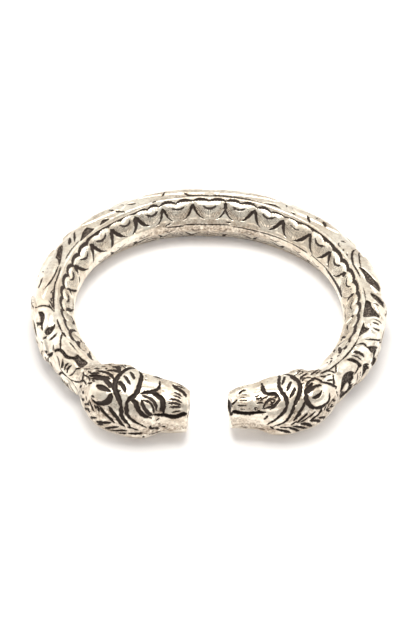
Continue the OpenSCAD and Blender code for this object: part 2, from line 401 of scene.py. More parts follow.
# The row of petals under each rim, seen from inside the ring.
# Points are degrees from the back and millimetres from the rim line.
petals = {
    "degree": 0.53,         # millimetres to a degree on the inner face
    "height": [(0, 0.36), (30, 0.34), (60, 0.27), (122, 0.22)],
    "lowerShare": 0.35,     # the row under the lower rim is flatter
    "facetShare": 0.6,      # height of the facets between two petals
    "facetWidth": 0.62,     # how fast they widen downwards
    "rise": 0.9,            # how far from the dark line a petal reaches its height
    "groove": [(0, 0.2), (20, 0.17), (35, 0.12), (77, 0.12), (88, 0.08)],
    "bead": [(0, 0.26), (20, 0.22), (35, 0.15), (77, 0.13), (88, 0.07), (128, 0.05)],
    "beadOut": [(0, 1.05), (20, 0.8), (40, 0.6), (128, 0.45)],
    # the lines were measured on the smooth face, seen at a slant:
    # how far a raised one seems to slide down
    "lean": [(0, 0.9), (30, 1.3), (60, 2.3), (90, 2.7)],
    "bottom": [(0, 4.2), (20, 4.7), (35, 5.0), (60, 5.2), (110, 5.5)],
    "top": [(0, 1.0), (19, 1.2), (32, 1.5), (58, 1.8), (84, 2.3), (110, 2.5)],
    "ragged": [(0.05, 5.1), (0.04, 11.7)],      # height and pace of the dark line's unevenness
    "lobePower": 0.6,       # below 1 makes its lobes rounder
    # height of the dark line between two lobes and what it gains in their middles, at the back;
    # then its least height on the sides, and what it loses in their middles
    "lineTall": (0.36, 0.36, 1.1, 0.2),
    "lineWall": 0.16,       # how far inside its edge it has its full depth
    "lineDark": (0.1, 0.45),        # and its full darkness, and how dark it is at the edge
    "deepen": (50, 22),     # the dark line reaches lower from this angle on, fully after so many degrees
    "leave": (20, 14),      # and here it leaves the petals' edge and fills up to the bead
    # on the petals' lower parts brown painted shade, on the strip below them brown tarnish with painted
    # shade,
    # and at the foot of the lower row a brown painted reflection of the shaded floor:
    # share at the back and on the sides, where the change starts and how long it is
    "brown": (1, 0.08, 12, 20),
    "strip": (0.8, 0.05, 16, 24),
    "foot": (1, 0.08, 18, 26),
    "rays": (0.72, 0.28, 27),       # the painted shade on the petals is streaked: even part, streaks, and how many there are
    # groups of strokes: how far they are slid down, bolder at start and end, depth, tapers
    "strokes": {
        "smiles": (0.4, (1.15, 1.15), 0.15, (0.2, 0.2)),
        "legs": (0.14, (1.25, 0.9), 0.24, (0.12, 0.4)),
        "neck": (0, (1.5, 1.5), 0.25, (0.15, 0.3)),
    },
    "ticks": 19,
    "tickTurn": 68,         # degrees to either side of the petal's middle line
    "tickRun": (0.52, 0.95),        # from here to there, as shares of the petal's reach
    "tick": {"width": 0.16, "depth": 0.06, "taper": (0.6, 0.3), "dark": 0.75},
    "fade": 122,            # the row ends here
    "lineFade": 128,        # and the dark line above it here
}
leftPetals = {
    "deeper": 0.5,          # how much lower the dark line reaches on the sides
    "tips": [-6.6, 7.0, 19.9, 32.2, 44.7, 57.0, 70.8, 83.8, 96.3, 108.5, 121],
    # lower edge of the dark line: the points between two lobes, and how high each lobe comes
    "cusps": [
        (0, 0.5), (7, 0.6), (14, 1.1), (21, 1.25), (26.2, 1.3), (31.8, 1.4), (38.6, 1.7), (45, 1.75),
        (51, 1.75), (58, 1.9), (64.6, 2.1), (71, 2.25), (77, 2.3), (84, 2.2), (90, 2.2), (97, 2.2),
        (103, 2.0), (110, 1.9), (116, 1.8), (124, 1.6),
    ],
    "lobes": [
        0.35, 0.55, 0.65, 0.8, 0.95, 1.1, 1.2, 1.2, 1.15, 1.3, 1.35, 1.4, 1.35, 1.45, 1.4, 1.3, 1.3, 1.2, 1.2,
    ],
    "upper": [
        (0, 0.15), (7, 0.2), (10, 0.12), (14, 0.4), (16, 0.2), (20, 0.5), (25, 0.55), (30, 0.75), (38, 0.9),
        (45, 0.9), (49, 0.75), (57, 0.55), (68, 0.6), (77, 0.7), (83, 0.5), (90, 0.45), (100, 0.65),
        (110, 0.6), (118, 1.0), (124, 1.8),
    ],
    "smiles": [
        (0.5, 0.5, [(-2.8, 1.4), (-1.5, 1.8), (0, 1.95), (1.5, 1.8), (2.8, 1.35)]),
        (0.4, 0.42, [(10.5, 1.35), (11.6, 1.9), (13.3, 2.15), (15, 1.95), (16.1, 1.6)]),
        (0.46, 0.46, [(22.3, 1.75), (23.2, 2.3), (24.6, 2.6), (26.2, 2.45), (27.7, 2.0)]),
        (0.44, 0.4, [(34.9, 2.1), (35.8, 2.7), (37.3, 2.97), (38.9, 2.7), (40.3, 2.25)]),
        (0.48, 0.44, [(47.9, 2.35), (48.9, 2.95), (50.5, 3.2), (52.2, 2.95), (53.8, 2.4)]),
        (0.46, 0.46, [(60.1, 3.0), (61.2, 3.5), (62.8, 3.72), (64.4, 3.4), (66.1, 2.8)]),
        (0.42, 0.46, [(73.5, 2.7), (74.5, 3.4), (76, 3.78), (77.5, 3.5), (78.7, 3.05)]),
        (0.4, 0.46, [(86.4, 3.3), (87.9, 3.85), (89.5, 3.9), (91.4, 3.25)]),
        (0.44, 0.5, [(96.9, 3.8), (98.8, 4.55), (101, 4.7), (103.3, 4.15)]),
        (0.3, 0.3, [(111.5, 3.8), (113, 4.3), (115, 4.0)]),
    ],
    "legs": [
        (0.6, 0.3, [(6.75, 1.0), (6.3, 2.1), (4.9, 3.2), (3.3, 3.9), (1.6, 4.35)]),
        (0.62, 0.3, [(7.35, 1.1), (7.8, 2.2), (8.8, 3.3), (10, 4.0), (11.5, 4.6)]),
        (0.6, 0.4, [(19.9, 1.3), (19.0, 2.5), (18.1, 3.5), (16.8, 4.2), (15.7, 4.5)]),
        (0.6, 0.35, [(20.0, 1.4), (20.5, 2.8), (21.3, 3.9), (22.5, 4.6), (24.3, 4.9)]),
        (0.85, 0.5, [(32.2, 1.7), (31, 2.9), (29.5, 3.8), (28.2, 4.25), (26.8, 4.55)]),
        (0.95, 0.65, [(32.3, 1.8), (32.6, 3.3), (33.4, 4.4), (35.2, 5.2)]),
        (0.9, 0.5, [(44.6, 2.0), (43.2, 3.4), (41.2, 4.35), (38.2, 5.2)]),
        (0.85, 0.6, [(44.8, 2.4), (45.5, 4.0), (46.6, 5.1), (48, 5.9)]),
        (0.95, 0.5, [(56.9, 2.0), (55.7, 3.6), (53.6, 4.7), (49.8, 5.95)]),
        (0.8, 0.4, [(56.9, 2.6), (57.9, 4.2), (60, 5.6)]),
        (0.85, 0.45, [(70.9, 2.2), (69.2, 3.8), (67, 4.9), (63.6, 6.0)]),
        (0.8, 0.5, [(70.9, 2.6), (71.1, 3.8), (72.1, 4.6)]),
        (0.3, 0.3, [(72.4, 4.9), (73.8, 5.4), (75.2, 5.8)]),
        (0.7, 0.5, [(83.8, 2.8), (82.2, 4.2), (80, 5.4), (78.2, 6.1)]),
        (0.5, 0.4, [(83.5, 3.9), (84.5, 4.9)]),
        (0.75, 0.5, [(96.1, 3.0), (93.9, 4.4), (91.4, 5.5)]),
    ],
    "neck": [
        (0.6, 0.35, [(110.4, 1.5), (108.2, 2.7), (106.9, 3.9), (105.6, 5.2)]),
        (0.8, 0.75, [(116.2, 0.5), (113.4, 0.8), (110.8, 1.4)]),
        (0.7, 0.6, [(120.6, 0.8), (118.4, 1.35), (116.2, 2.1), (114.9, 3.2)]),
        (1.0, 0.7, [(128.2, 0.8), (125.6, 1.7), (123.6, 2.8), (121.6, 4)]),
        (0.4, 0.3, [(121.4, 4.1), (119.8, 4.6), (119, 5.2)]),
        (0.26, 0.24, [(114.6, 3.5), (112.8, 4.1)]),
        (0.24, 0.3, [(121.2, 1.6), (120.5, 3)]),
        (0.3, 0.24, [(114, 5), (112.4, 5.7)]),
    ],
}
rightPetals = {
    "deeper": 0.35,
    "tips": [-7.0, 6.6, 19.0, 31.8, 45.3, 58.2, 71.0, 83.8, 95.8, 108.5, 121],
    "cusps": [
        (0, 0.5), (6.6, 0.55), (12.8, 0.75), (19.7, 1.05), (25.6, 1.3), (32, 1.3), (38.4, 1.35), (45.5, 1.15),
        (52.4, 1.4), (58.4, 1.55), (64.9, 1.85), (71, 1.7), (77.8, 1.7), (84.3, 1.65), (89.8, 2.0),
        (96.5, 1.75), (103, 1.75), (110, 1.6), (117, 1.6), (124, 1.5),
    ],
    "lobes": [
        0.3, 0.35, 0.5, 0.75, 0.9, 0.85, 0.75, 0.7, 0.95, 1.1, 1.1, 0.95, 1.05, 1.1, 1.05, 1.1, 1.1, 1.1, 1.1,
    ],
    "upper": [
        (0, 0.15), (6, 0.05), (13, 0.2), (16, 0.1), (20, 0.4), (25, 0.65), (29, 0.6), (32, 0.75), (35, 0.5),
        (38, 0.6), (42, 0.3), (49, 0.3), (62, 0.3), (70, 0.25), (77, 0.45), (84, 0.2), (90, 0.12), (96, 0.05),
        (104, 0.05), (108, 0.4), (114, 1.2), (124, 1.6),
    ],
    "smiles": [
        (0.5, 0.5, [(-2.8, 1.35), (-1.5, 1.8), (0, 1.95), (1.4, 1.75), (2.6, 1.3)]),
        (0.48, 0.42, [(9.6, 1.35), (11, 1.75), (12.7, 1.9), (14, 1.75), (15.3, 1.3)]),
        (0.44, 0.42, [(22.5, 1.8), (23.6, 2.2), (25, 2.45), (26.6, 2.25), (28.3, 1.65)]),
        (0.26, 0.36, [(35.1, 2.05), (36.8, 2.4), (38.5, 2.6), (40.2, 2.35)]),
        (0.56, 0.42, [(48.5, 2.05), (49.7, 2.6), (51.2, 2.85), (52.7, 2.65), (54.4, 2.1)]),
        (0.5, 0.46, [(61.6, 2.5), (62.8, 3.1), (64, 3.3), (65.4, 3.0), (66.9, 2.45)]),
        (0.46, 0.36, [(74.1, 2.7), (75.4, 3.2), (76.8, 3.5), (78.1, 3.3), (79.4, 2.7)]),
        (0.3, 0.36, [(86.9, 3.0), (88.3, 3.5), (89.8, 3.75), (91.5, 3.45)]),
        (0.3, 0.3, [(99.3, 4.3), (101, 4.1), (103.6, 3.6)]),
    ],
    "legs": [
        (0.75, 0.6, [(6.6, 0.7), (6.6, 1.8), (6.6, 2.8)]),
        (0.5, 0.3, [(6.5, 2.3), (5.5, 3.3), (4.2, 3.9), (2.4, 4.2)]),
        (0.5, 0.3, [(6.7, 2.3), (7.8, 3.4), (9.1, 4.0), (10.8, 4.3)]),
        (0.65, 0.35, [(19.0, 1.25), (17.7, 2.4), (16.4, 3.3), (15.2, 3.9), (13.7, 4.2)]),
        (0.7, 0.5, [(19.1, 1.3), (19.9, 2.6), (20.6, 3.6), (21.5, 4.3), (22.6, 4.75)]),
        (0.9, 0.45, [(31.9, 1.65), (30.8, 2.8), (29.6, 3.6), (28.2, 4.3), (26.7, 4.8)]),
        (0.8, 0.35, [(32.0, 1.8), (32.8, 3.2), (33.7, 4.2), (34.8, 4.7), (36.4, 4.95)]),
        (0.75, 0.45, [(45.3, 1.6), (44.3, 2.8), (42.8, 3.8), (40.9, 4.55), (38.5, 5.0)]),
        (0.7, 0.4, [(45.4, 1.7), (46.4, 2.9), (47.5, 3.9), (49, 4.7), (50.7, 5.2)]),
        (0.8, 0.5, [(58.2, 1.9), (57, 3.3), (55.5, 4.3), (53.5, 5.1)]),
        (0.75, 0.35, [(58.3, 2.2), (59.3, 3.6), (60.5, 4.45), (62.1, 5.1)]),
        (0.65, 0.3, [(70.9, 2.2), (69.8, 3.6), (68.4, 4.5), (66.2, 5.1)]),
        (0.85, 0.7, [(71.0, 2.2), (71.3, 3.6)]),
        (0.24, 0.24, [(73.6, 4.6), (74.8, 5.0), (76.4, 5.3)]),
        (0.6, 0.75, [(83.6, 2.2), (83.5, 3.4), (84, 4.2), (84.9, 4.7)]),
        (0.3, 0.2, [(83.2, 4.0), (81.8, 4.7), (80, 5.2)]),
        (0.7, 0.5, [(95.7, 2.7), (94.9, 4.0)]),
    ],
    "neck": [
        (0.7, 0.55, [(108.4, 0.4), (106.2, 0.9), (103.6, 1.45)]),
        (0.5, 0.6, [(108.2, 3.2), (107.2, 4.1), (105.9, 4.8)]),
        (0.5, 0.4, [(113.4, 0.3), (112, 0.9), (110.3, 1.6)]),
        (0.7, 0.65, [(117.6, 0.2), (116.2, 0.7), (115.2, 1.3)]),
        (0.6, 0.6, [(119.8, 0.9), (118, 1.7), (116.2, 2.4), (114.6, 3.3)]),
        (0.45, 0.4, [(122, 0.5), (120.6, 1.4)]),
        (0.45, 0.5, [(126.4, 0.9), (124.8, 1.6), (123.7, 2.4)]),
        (0.45, 0.35, [(116.6, 3.9), (115.2, 4.5), (113.6, 4.9)]),
        (0.4, 0.45, [(112, 3.6), (112.7, 4.6)]),
        (0.4, 0.35, [(108.8, 4.1), (107.9, 4.6)]),
        (0.3, 0.3, [(125.2, 2.7), (124, 3.5)]),
        (0.3, 0.3, [(122.6, 2.4), (121, 3.6)]),
        (0.3, 0.3, [(127.6, 0.5), (126.8, 1.6)]),
    ],
}


def along(table, angle):
    rows = np.array(table)
    return np.interp(angle, rows[:, 0], rows[:, 1])


# A change that starts at one angle and takes some degrees
def ramp(angle, start, over):
    return ease((angle - start) / over)


def passing(row, angle):
    first, second, start, over = row
    return lerp(first, second, ramp(angle, start, over))


def cutPetals(sheet, side):
    g = sheet.grid
    table = leftPetals if side < 0 else rightPetals
    angle, rim = g["angle"], g["rim"]
    onRing = g["share"][:, None] < 0.5
    inner = ~g["outer"] & onRing
    tips = np.array(table["tips"])
    k = np.clip(np.searchsorted(tips, angle) - 1, 0, len(tips) - 2)
    half = (tips[k + 1] - tips[k]) / 2
    x = (angle - tips[k] - half) / half
    top, bottom = along(petals["top"], angle), along(petals["bottom"], angle)
    y = (rim - top) / (bottom - top)
    fade = ease((petals["fade"] - angle) / 6)

    # lower edge of the dark line above the petals, with two lobes to a petal
    cusps = np.array(table["cusps"])
    j = np.clip(np.searchsorted(cusps[:, 0], angle) - 1, 0, len(cusps) - 2)
    t = np.clip((angle - cusps[j, 0]) / (cusps[j + 1, 0] - cusps[j, 0]), 0, 1)
    arch = np.sin(math.pi * t)
    edge = lerp(cusps[j, 1], cusps[j + 1, 1], t)
    lobe = np.array(table["lobes"])[j]
    (wave, pace), (ripple, quick) = petals["ragged"]
    ragged = wave * np.sin(angle * pace + side) + ripple * np.sin(angle * quick)
    deeper = table["deeper"] * ramp(angle, *petals["deepen"])
    low = edge + deeper - (1 + 0.3 * deeper) * (edge - lobe) * arch ** petals["lobePower"] + ragged

    # the petals are small pillows, with facets between them
    reach = np.sqrt(x ** 2 + np.maximum(y, 0) ** 2)
    body = np.sqrt(np.clip(1 - reach ** 3, 0, 1))
    fromTip = (1 - np.abs(x)) * half * petals["degree"]
    facetHalf = np.maximum(petals["facetWidth"] * (rim - top - 0.5), 0.05)
    facet = ease(1.6 * (1 - fromTip / facetHalf)) * ease(1.3 * (bottom + 0.3 - rim))
    height = along(petals["height"], angle) * np.where(g["lower"], petals["lowerShare"], 1)
    form = np.maximum(body * ease(3 * (1 - reach)), petals["facetShare"] * facet)
    pillow = height * form * np.sqrt(np.clip((rim - low) / petals["rise"], 0, 1))
    np.maximum(sheet.raised, fade * pillow, out=sheet.raised, where=inner)

    # their lower parts get brown painted shade, and the plain strip below brown tarnish with painted shade
    around = np.arctan2(x, np.maximum(y, 1e-3))
    brown = passing(petals["brown"], angle) * ease((reach - 0.5) / 0.4) * ease((1.05 - reach) / 0.1)
    even, streak, count = petals["rays"]
    brown = brown * (even + streak * np.sin(around * count)) * ease(y / 0.3)
    strip = passing(petals["strip"], angle) * ease((rim - bottom + 0.2) / 0.7)
    # the foot of the lower row gets a brown painted reflection of the shaded floor
    foot = passing(petals["foot"], angle) * ease((rim - g["face"] + 0.7) / 0.8) * g["lower"]
    petalTarnishAndShade = np.maximum(brown * fade, np.maximum(strip, foot))
    np.maximum(sheet.brown, petalTarnishAndShade, out=sheet.brown, where=inner)

    # the rim's bead, and the dark line between it and the petals
    signed = np.where(g["outer"], -rim, rim)
    nearRim = (signed > -0.7) & onRing
    level = along(table["upper"], angle) + 0.03 * np.sin(angle * 7.3)
    level = np.where(g["lower"], np.maximum(level, 0.3), level)
    fromBack = ramp(angle, *petals["leave"])
    tall, gain, tallSide, loss = petals["lineTall"]
    high = lerp(low - tall - gain * arch, np.maximum(level, low - tallSide + loss * arch), fromBack)
    beadIn, beadOut = lerp(-0.05, level, fromBack), along(petals["beadOut"], angle)
    middle, halfWide = (beadOut - beadIn) / 2, (beadOut + beadIn) / 2
    hump = np.sqrt(np.clip(1 - ((-signed - middle) / halfWide) ** 2, 0, 1))
    sheet.bead = along(petals["bead"], angle) * hump * (1 - g["share"][:, None])
    seen = signed + along(petals["lean"], angle) * np.where(inner, sheet.raised, 0)
    into = np.minimum(seen - high, low - seen)
    fadeLine = ease((petals["lineFade"] - angle) / 8)
    groove = along(petals["groove"], angle) * ease(into / petals["lineWall"]) * fadeLine
    np.maximum(sheet.cut, groove, out=sheet.cut, where=nearRim)
    run, start = petals["lineDark"]
    np.maximum(sheet.dark, ease(into / run + start) * fadeLine, out=sheet.dark, where=nearRim)

    # smiles, legs, strokes at the neck, and ticks
    unit = (petals["degree"], 1)
    u = angle * petals["degree"]
    for group, v in (("smiles", seen), ("legs", seen), ("neck", rim)):
        slid, bolder, depth, taper = petals["strokes"][group]
        sheet.lines(u, v - slid, inner, table[group], unit, bolder, depth, taper=taper)
    for first, second in zip(tips[:-1], tips[1:]):
        middle, reachX = (first + second) / 2, (second - first) / 2
        if middle > petals["fade"] - 4:
            continue
        low, high = along(petals["top"], middle), along(petals["bottom"], middle)
        for j in range(petals["ticks"]):
            a = math.radians(lerp(-petals["tickTurn"], petals["tickTurn"], j / (petals["ticks"] - 1)))
            bit = [(middle + r * reachX * math.sin(a), low + r * (high - low) * math.cos(a))
                   for r in petals["tickRun"]]
            sheet.line(u, seen, inner, scaled(bit, *unit), **petals["tick"])


# The plain inner band: its thin line, and marks under it
band = {
    "degree": 0.5,          # millimetres to a degree
    "line": {"depth": 0.14, "taper": (0.15, 0.15), "dark": 0.9},
    # short crossed strokes at the band's foot: their angles, and points in millimetres
    "crossesAt": range(6, 60, 12),
    "cross": [[(-1.3, 0.5), (0, 0.05), (0.9, -0.3)], [(1.1, 0.55), (0.1, 0.1)]],
    "crossCut": {"width": 0.26, "depth": 0.08, "dark": 0.7},
    "left": [
        (0.3, 0.45, [(-3, 5.75), (6, 5.7), (11, 5.75)]),
        (0.5, 0.3, [(11, 6.0), (15, 6.1), (19.5, 6.0)]),
        (0.4, 0.25, [(17, 5.1), (18.6, 5.3), (19.7, 5.7)]),
        (0.2, 0.2, [(88, 5.6), (94, 5.3)]),
    ],
    "right": [
        (0.45, 0.25, [(-3, 5.75), (4, 5.65), (9, 5.6)]),
        (0.4, 0.3, [(7.3, 4.9), (9.4, 5.1)]),
        (0.25, 0.5, [(10, 5.9), (17, 6.05), (22, 6.1)]),
        (0.4, 0.3, [(22, 6.1), (30, 6.0), (38, 6.0)]),
        (0.3, 0.5, [(38, 5.9), (44, 5.9), (48, 5.8)]),
        (0.25, 0.25, [(50, 5.65), (56, 5.6), (62, 5.5)]),
        (0.7, 1.2, [(61, 5.7), (66, 5.8), (73, 5.75), (79.5, 5.65)]),
        (0.35, 0.25, [(84, 5.65), (86.3, 5.8)]),
        (0.2, 0.3, [(89.5, 5.6), (93, 5.4), (95.5, 5.3)]),
    ],
}


def cutBand(sheet, side):
    g = sheet.grid
    u = g["angle"] * band["degree"]
    onBand = ~g["outer"] & (g["share"][:, None] < 0.4)
    strokes = band["left" if side < 0 else "right"]
    sheet.lines(u, g["rim"], onBand & ~g["lower"], strokes, (band["degree"], 1), 1, **band["line"])
    for angle in band["crossesAt"]:
        at = angle * band["degree"]
        for points in band["cross"]:
            bit = [(at + a, b) for a, b in points]
            sheet.line(u, g["rim"] - g["face"], onBand & g["lower"], bit, **band["crossCut"])


# Leaf scrolls on the outer side. Points are degrees from the back and millimetres from the rim line;
# the same ornament is repeated under the lower rim.
scrolls = {
    "degree": 0.6,          # millimetres to a degree
    "pocket": {"depth": 0.6, "grow": 0.05},
    "leaf": {"height": 0.35, "edge": 0.8},
    "lineDepth": 0.26,
    "bolder": 1.25,
    # brown patches on the outer side, and their outlines; the first, along the groove under the rim at the
    # back, is painted shade
    "stain": {"strength": 0.55, "edge": 1.0},
    "brownPatches": [
        [(-4, 0.3), (14, 0.3), (26, 1.0), (12, 2.0), (-4, 1.9)],
        [(-3, 2.4), (4, 2.5), (10, 2.7), (9.8, 3.6), (5, 3.4), (-3, 3.2)],
        [(14, 2.2), (20, 2.6), (22, 3.6), (16, 3.2)],
        [(44, 2.2), (48, 2.4), (46, 3.6), (41, 3.4)],
        [(64, 2.2), (70, 2.6), (66, 4.6), (62, 4.4)],
    ],
    # the leaf at the back is the same on both sides
    "backLeaf": [(3, 2.0), (12, 2.1), (20, 2.6), (28, 3.4), (18, 4.6), (6, 4.4), (0, 3.4)],
}
leftScrolls = {
    "pockets": [
        [(29.2, 1.6), (29.7, 2.2), (31.2, 2.55), (32.6, 2.4), (31.2, 1.6)],
        [(43.2, 0.1), (43.6, 0.8), (45.4, 1.05), (47.2, 0.5), (48.2, 0)],
        [(51.3, 0.1), (51.6, 1.1), (52.2, 2.05), (53.6, 1.9), (55.6, 1.5), (57.6, 0.9), (60.2, 0.1),
         (55.5, -0.05)],
        [(75.4, 1.05), (72.6, 1.15), (69.8, 1.65), (66.9, 2.3), (64.6, 3.1), (63.9, 4.1), (65.9, 4.0),
         (69, 3.25), (71.3, 2.9), (72.6, 2.0)],
        [(82, 3.6), (83.5, 4.4), (85.2, 4.95), (86.4, 4.0), (84.6, 3.6)],
        [(97.7, 4.3), (98.7, 3.3), (100.5, 2.9), (102.5, 3.2), (104, 3.9), (105.8, 4.4), (104.2, 4.8),
         (102.9, 4.7), (102.1, 5.6), (101.1, 6.5), (100.1, 5.9), (101.2, 4.9), (101.9, 4.4), (100, 4.1)],
        [(105.6, 1.45), (107.2, 1.65), (108.5, 2.4), (108.9, 3.3), (108, 4.3), (106.8, 4.3), (106.2, 3.2),
         (106.5, 2.2)],
        [(114.5, 4.7), (115.4, 3.6), (117, 2.9), (118.5, 2.7), (120.7, 2.7), (123, 2.0), (123.7, 1.1),
         (126, 0.95), (129.4, 0.85), (129.3, 2.4), (127.2, 2.8), (124, 2.5), (122, 3.2), (119.8, 3.6),
         (117.4, 3.6), (116, 4.2), (115.4, 4.8)],
    ],
    "leaves": [
        [(36, 1.2), (42, 1.4), (49, 2.2), (53, 3.8), (46, 4.6), (38, 3.6), (33, 2.6)],
        [(74.7, 1.8), (81.7, 1.5), (89.3, 2.25), (92.7, 3.2), (85.7, 4.3), (77.7, 4.3), (71.5, 3.0)],
        [(95, 4.6), (96.4, 2.6), (99, 1.3), (103, 1.5), (106.8, 3.1), (107.6, 4.6), (104.5, 5.6),
         (99.5, 6.1)],
        [(112, 1.2), (116, 0.4), (121, 0.5), (124.5, 1.0), (120.5, 2.1), (116.5, 2.3), (113.6, 2.0)],
        [(119.7, 3.9), (119.7, 5.7), (120.9, 6.6), (124.1, 6.7), (127.6, 5.4), (128, 3.2), (124.6, 2.8),
         (121.6, 3.1)],
    ],
    "lines": [
        (0.5, 0.6, [(-3, 1.4), (4, 1.35), (8, 1.4), (10, 2.3)]),
        (0.35, 0.3, [(8, 1.1), (12, 1.0), (15.5, 0.9)]),
        (0.34, 0.3, [(18.6, 2.0), (17.6, 2.8), (16.6, 3.6)]),
        (0.4, 0.3, [(21.8, 0.6), (23.6, 0.2)]),
        (0.7, 0.3, [(35.8, 0.1), (37.2, 0.8), (38.5, 1.4)]),
        (0.55, 0.5, [(39.1, 1.7), (39.9, 2.5)]),
        (0.22, 0.3, [(34, 2.0), (35, 2.8)]),
        (0.45, 0.35, [(61.3, 1.2), (59.2, 2.0), (57.6, 2.8), (55.8, 3.7)]),
        (0.75, 0.45, [(63.5, 1.8), (61.4, 2.4), (59.7, 3.3)]),
        (0.3, 0.26, [(75.2, 1.15), (79, 1.1), (83, 1.4), (86.5, 2.1), (88.7, 2.9)]),
        (0.3, 0.22, [(79.2, 3.9), (77.4, 4.9)]),
        (0.22, 0.3, [(60.5, 0.4), (66, 0.45), (72, 0.3)]),
        (0.3, 0.3, [(76, 0.5), (80, 0.4), (86, 0.5)]),
        (0.34, 0.36, [(84, 0.7), (90, 0.6), (95, 0.7), (100, 0.8)]),
        (0.34, 0.3, [(104.2, 0.75), (107.5, 0.8), (110.4, 0.85)]),
        (0.36, 0.3, [(110.6, 0.85), (112.4, 0.7), (114, 0.75)]),
        (0.26, 0.26, [(117, 0.75), (119, 0.65), (121.4, 0.65)]),
        (0.24, 0.24, [(88.8, 0.95), (90.6, 1.3)]),
        (0.24, 0.24, [(90.2, 0.95), (92, 0.8), (93.8, 1.05)]),
        (0.24, 0.24, [(94, 1.65), (96, 1.2), (98.3, 1.0)]),
        (0.24, 0.2, [(92.8, 1.35), (95, 1.05)]),
        (0.24, 0.2, [(96.2, 1.7), (98.6, 1.3)]),
        (0.3, 0.6, [(100.4, 0.85), (98, 1.5), (96.6, 2.4), (95.5, 3.7), (94.6, 5.0)]),
        (0.4, 0.4, [(110.4, 1.9), (110.9, 3.0), (110.4, 4.2)]),
        (0.34, 0.3, [(108.3, 4.4), (108.1, 5.4)]),
        (0.5, 0.5, [(108.7, 6.0), (107.4, 7.0)]),
        (0.5, 0.5, [(112.1, 6.4), (110.9, 7.1)]),
        (0.55, 0.55, [(114.6, 5.3), (113.6, 6.4), (112.4, 7.6)]),
        (0.5, 0.5, [(112.3, 8.3), (111.6, 8.8)]),
        (0.34, 0.5, [(110.8, 0.85), (113, 1.5), (115, 2.4), (116.9, 3.1)]),
        (0.3, 0.3, [(113.3, 3.9), (114.2, 4.8)]),
        (0.5, 0.6, [(120.6, 4.0), (121.2, 4.9), (120.8, 5.9)]),
        (0.45, 0.45, [(123.4, 3.6), (122.6, 4.6), (122.6, 5.7)]),
        (0.45, 0.45, [(124.9, 3.5), (124, 4.7), (123.9, 5.8)]),
        (0.3, 0.22, [(127.6, 3.5), (126.8, 4.9), (125, 6.2)]),
        (0.4, 0.3, [(128.7, 2.8), (127.1, 3.6)]),
        (0.4, 0.34, [(116.8, 4.8), (118.3, 5.3), (119.6, 6.3), (120.5, 7.0), (123, 7.3), (125.5, 7.2),
                     (127.4, 6.6)]),
        (0.36, 0.3, [(127, 6.9), (129.5, 6.1), (131.5, 5.6), (134.2, 5.0)]),
        (0.36, 0.5, [(131.4, 3.0), (132.8, 3.7), (134, 4.7)]),
    ],
}
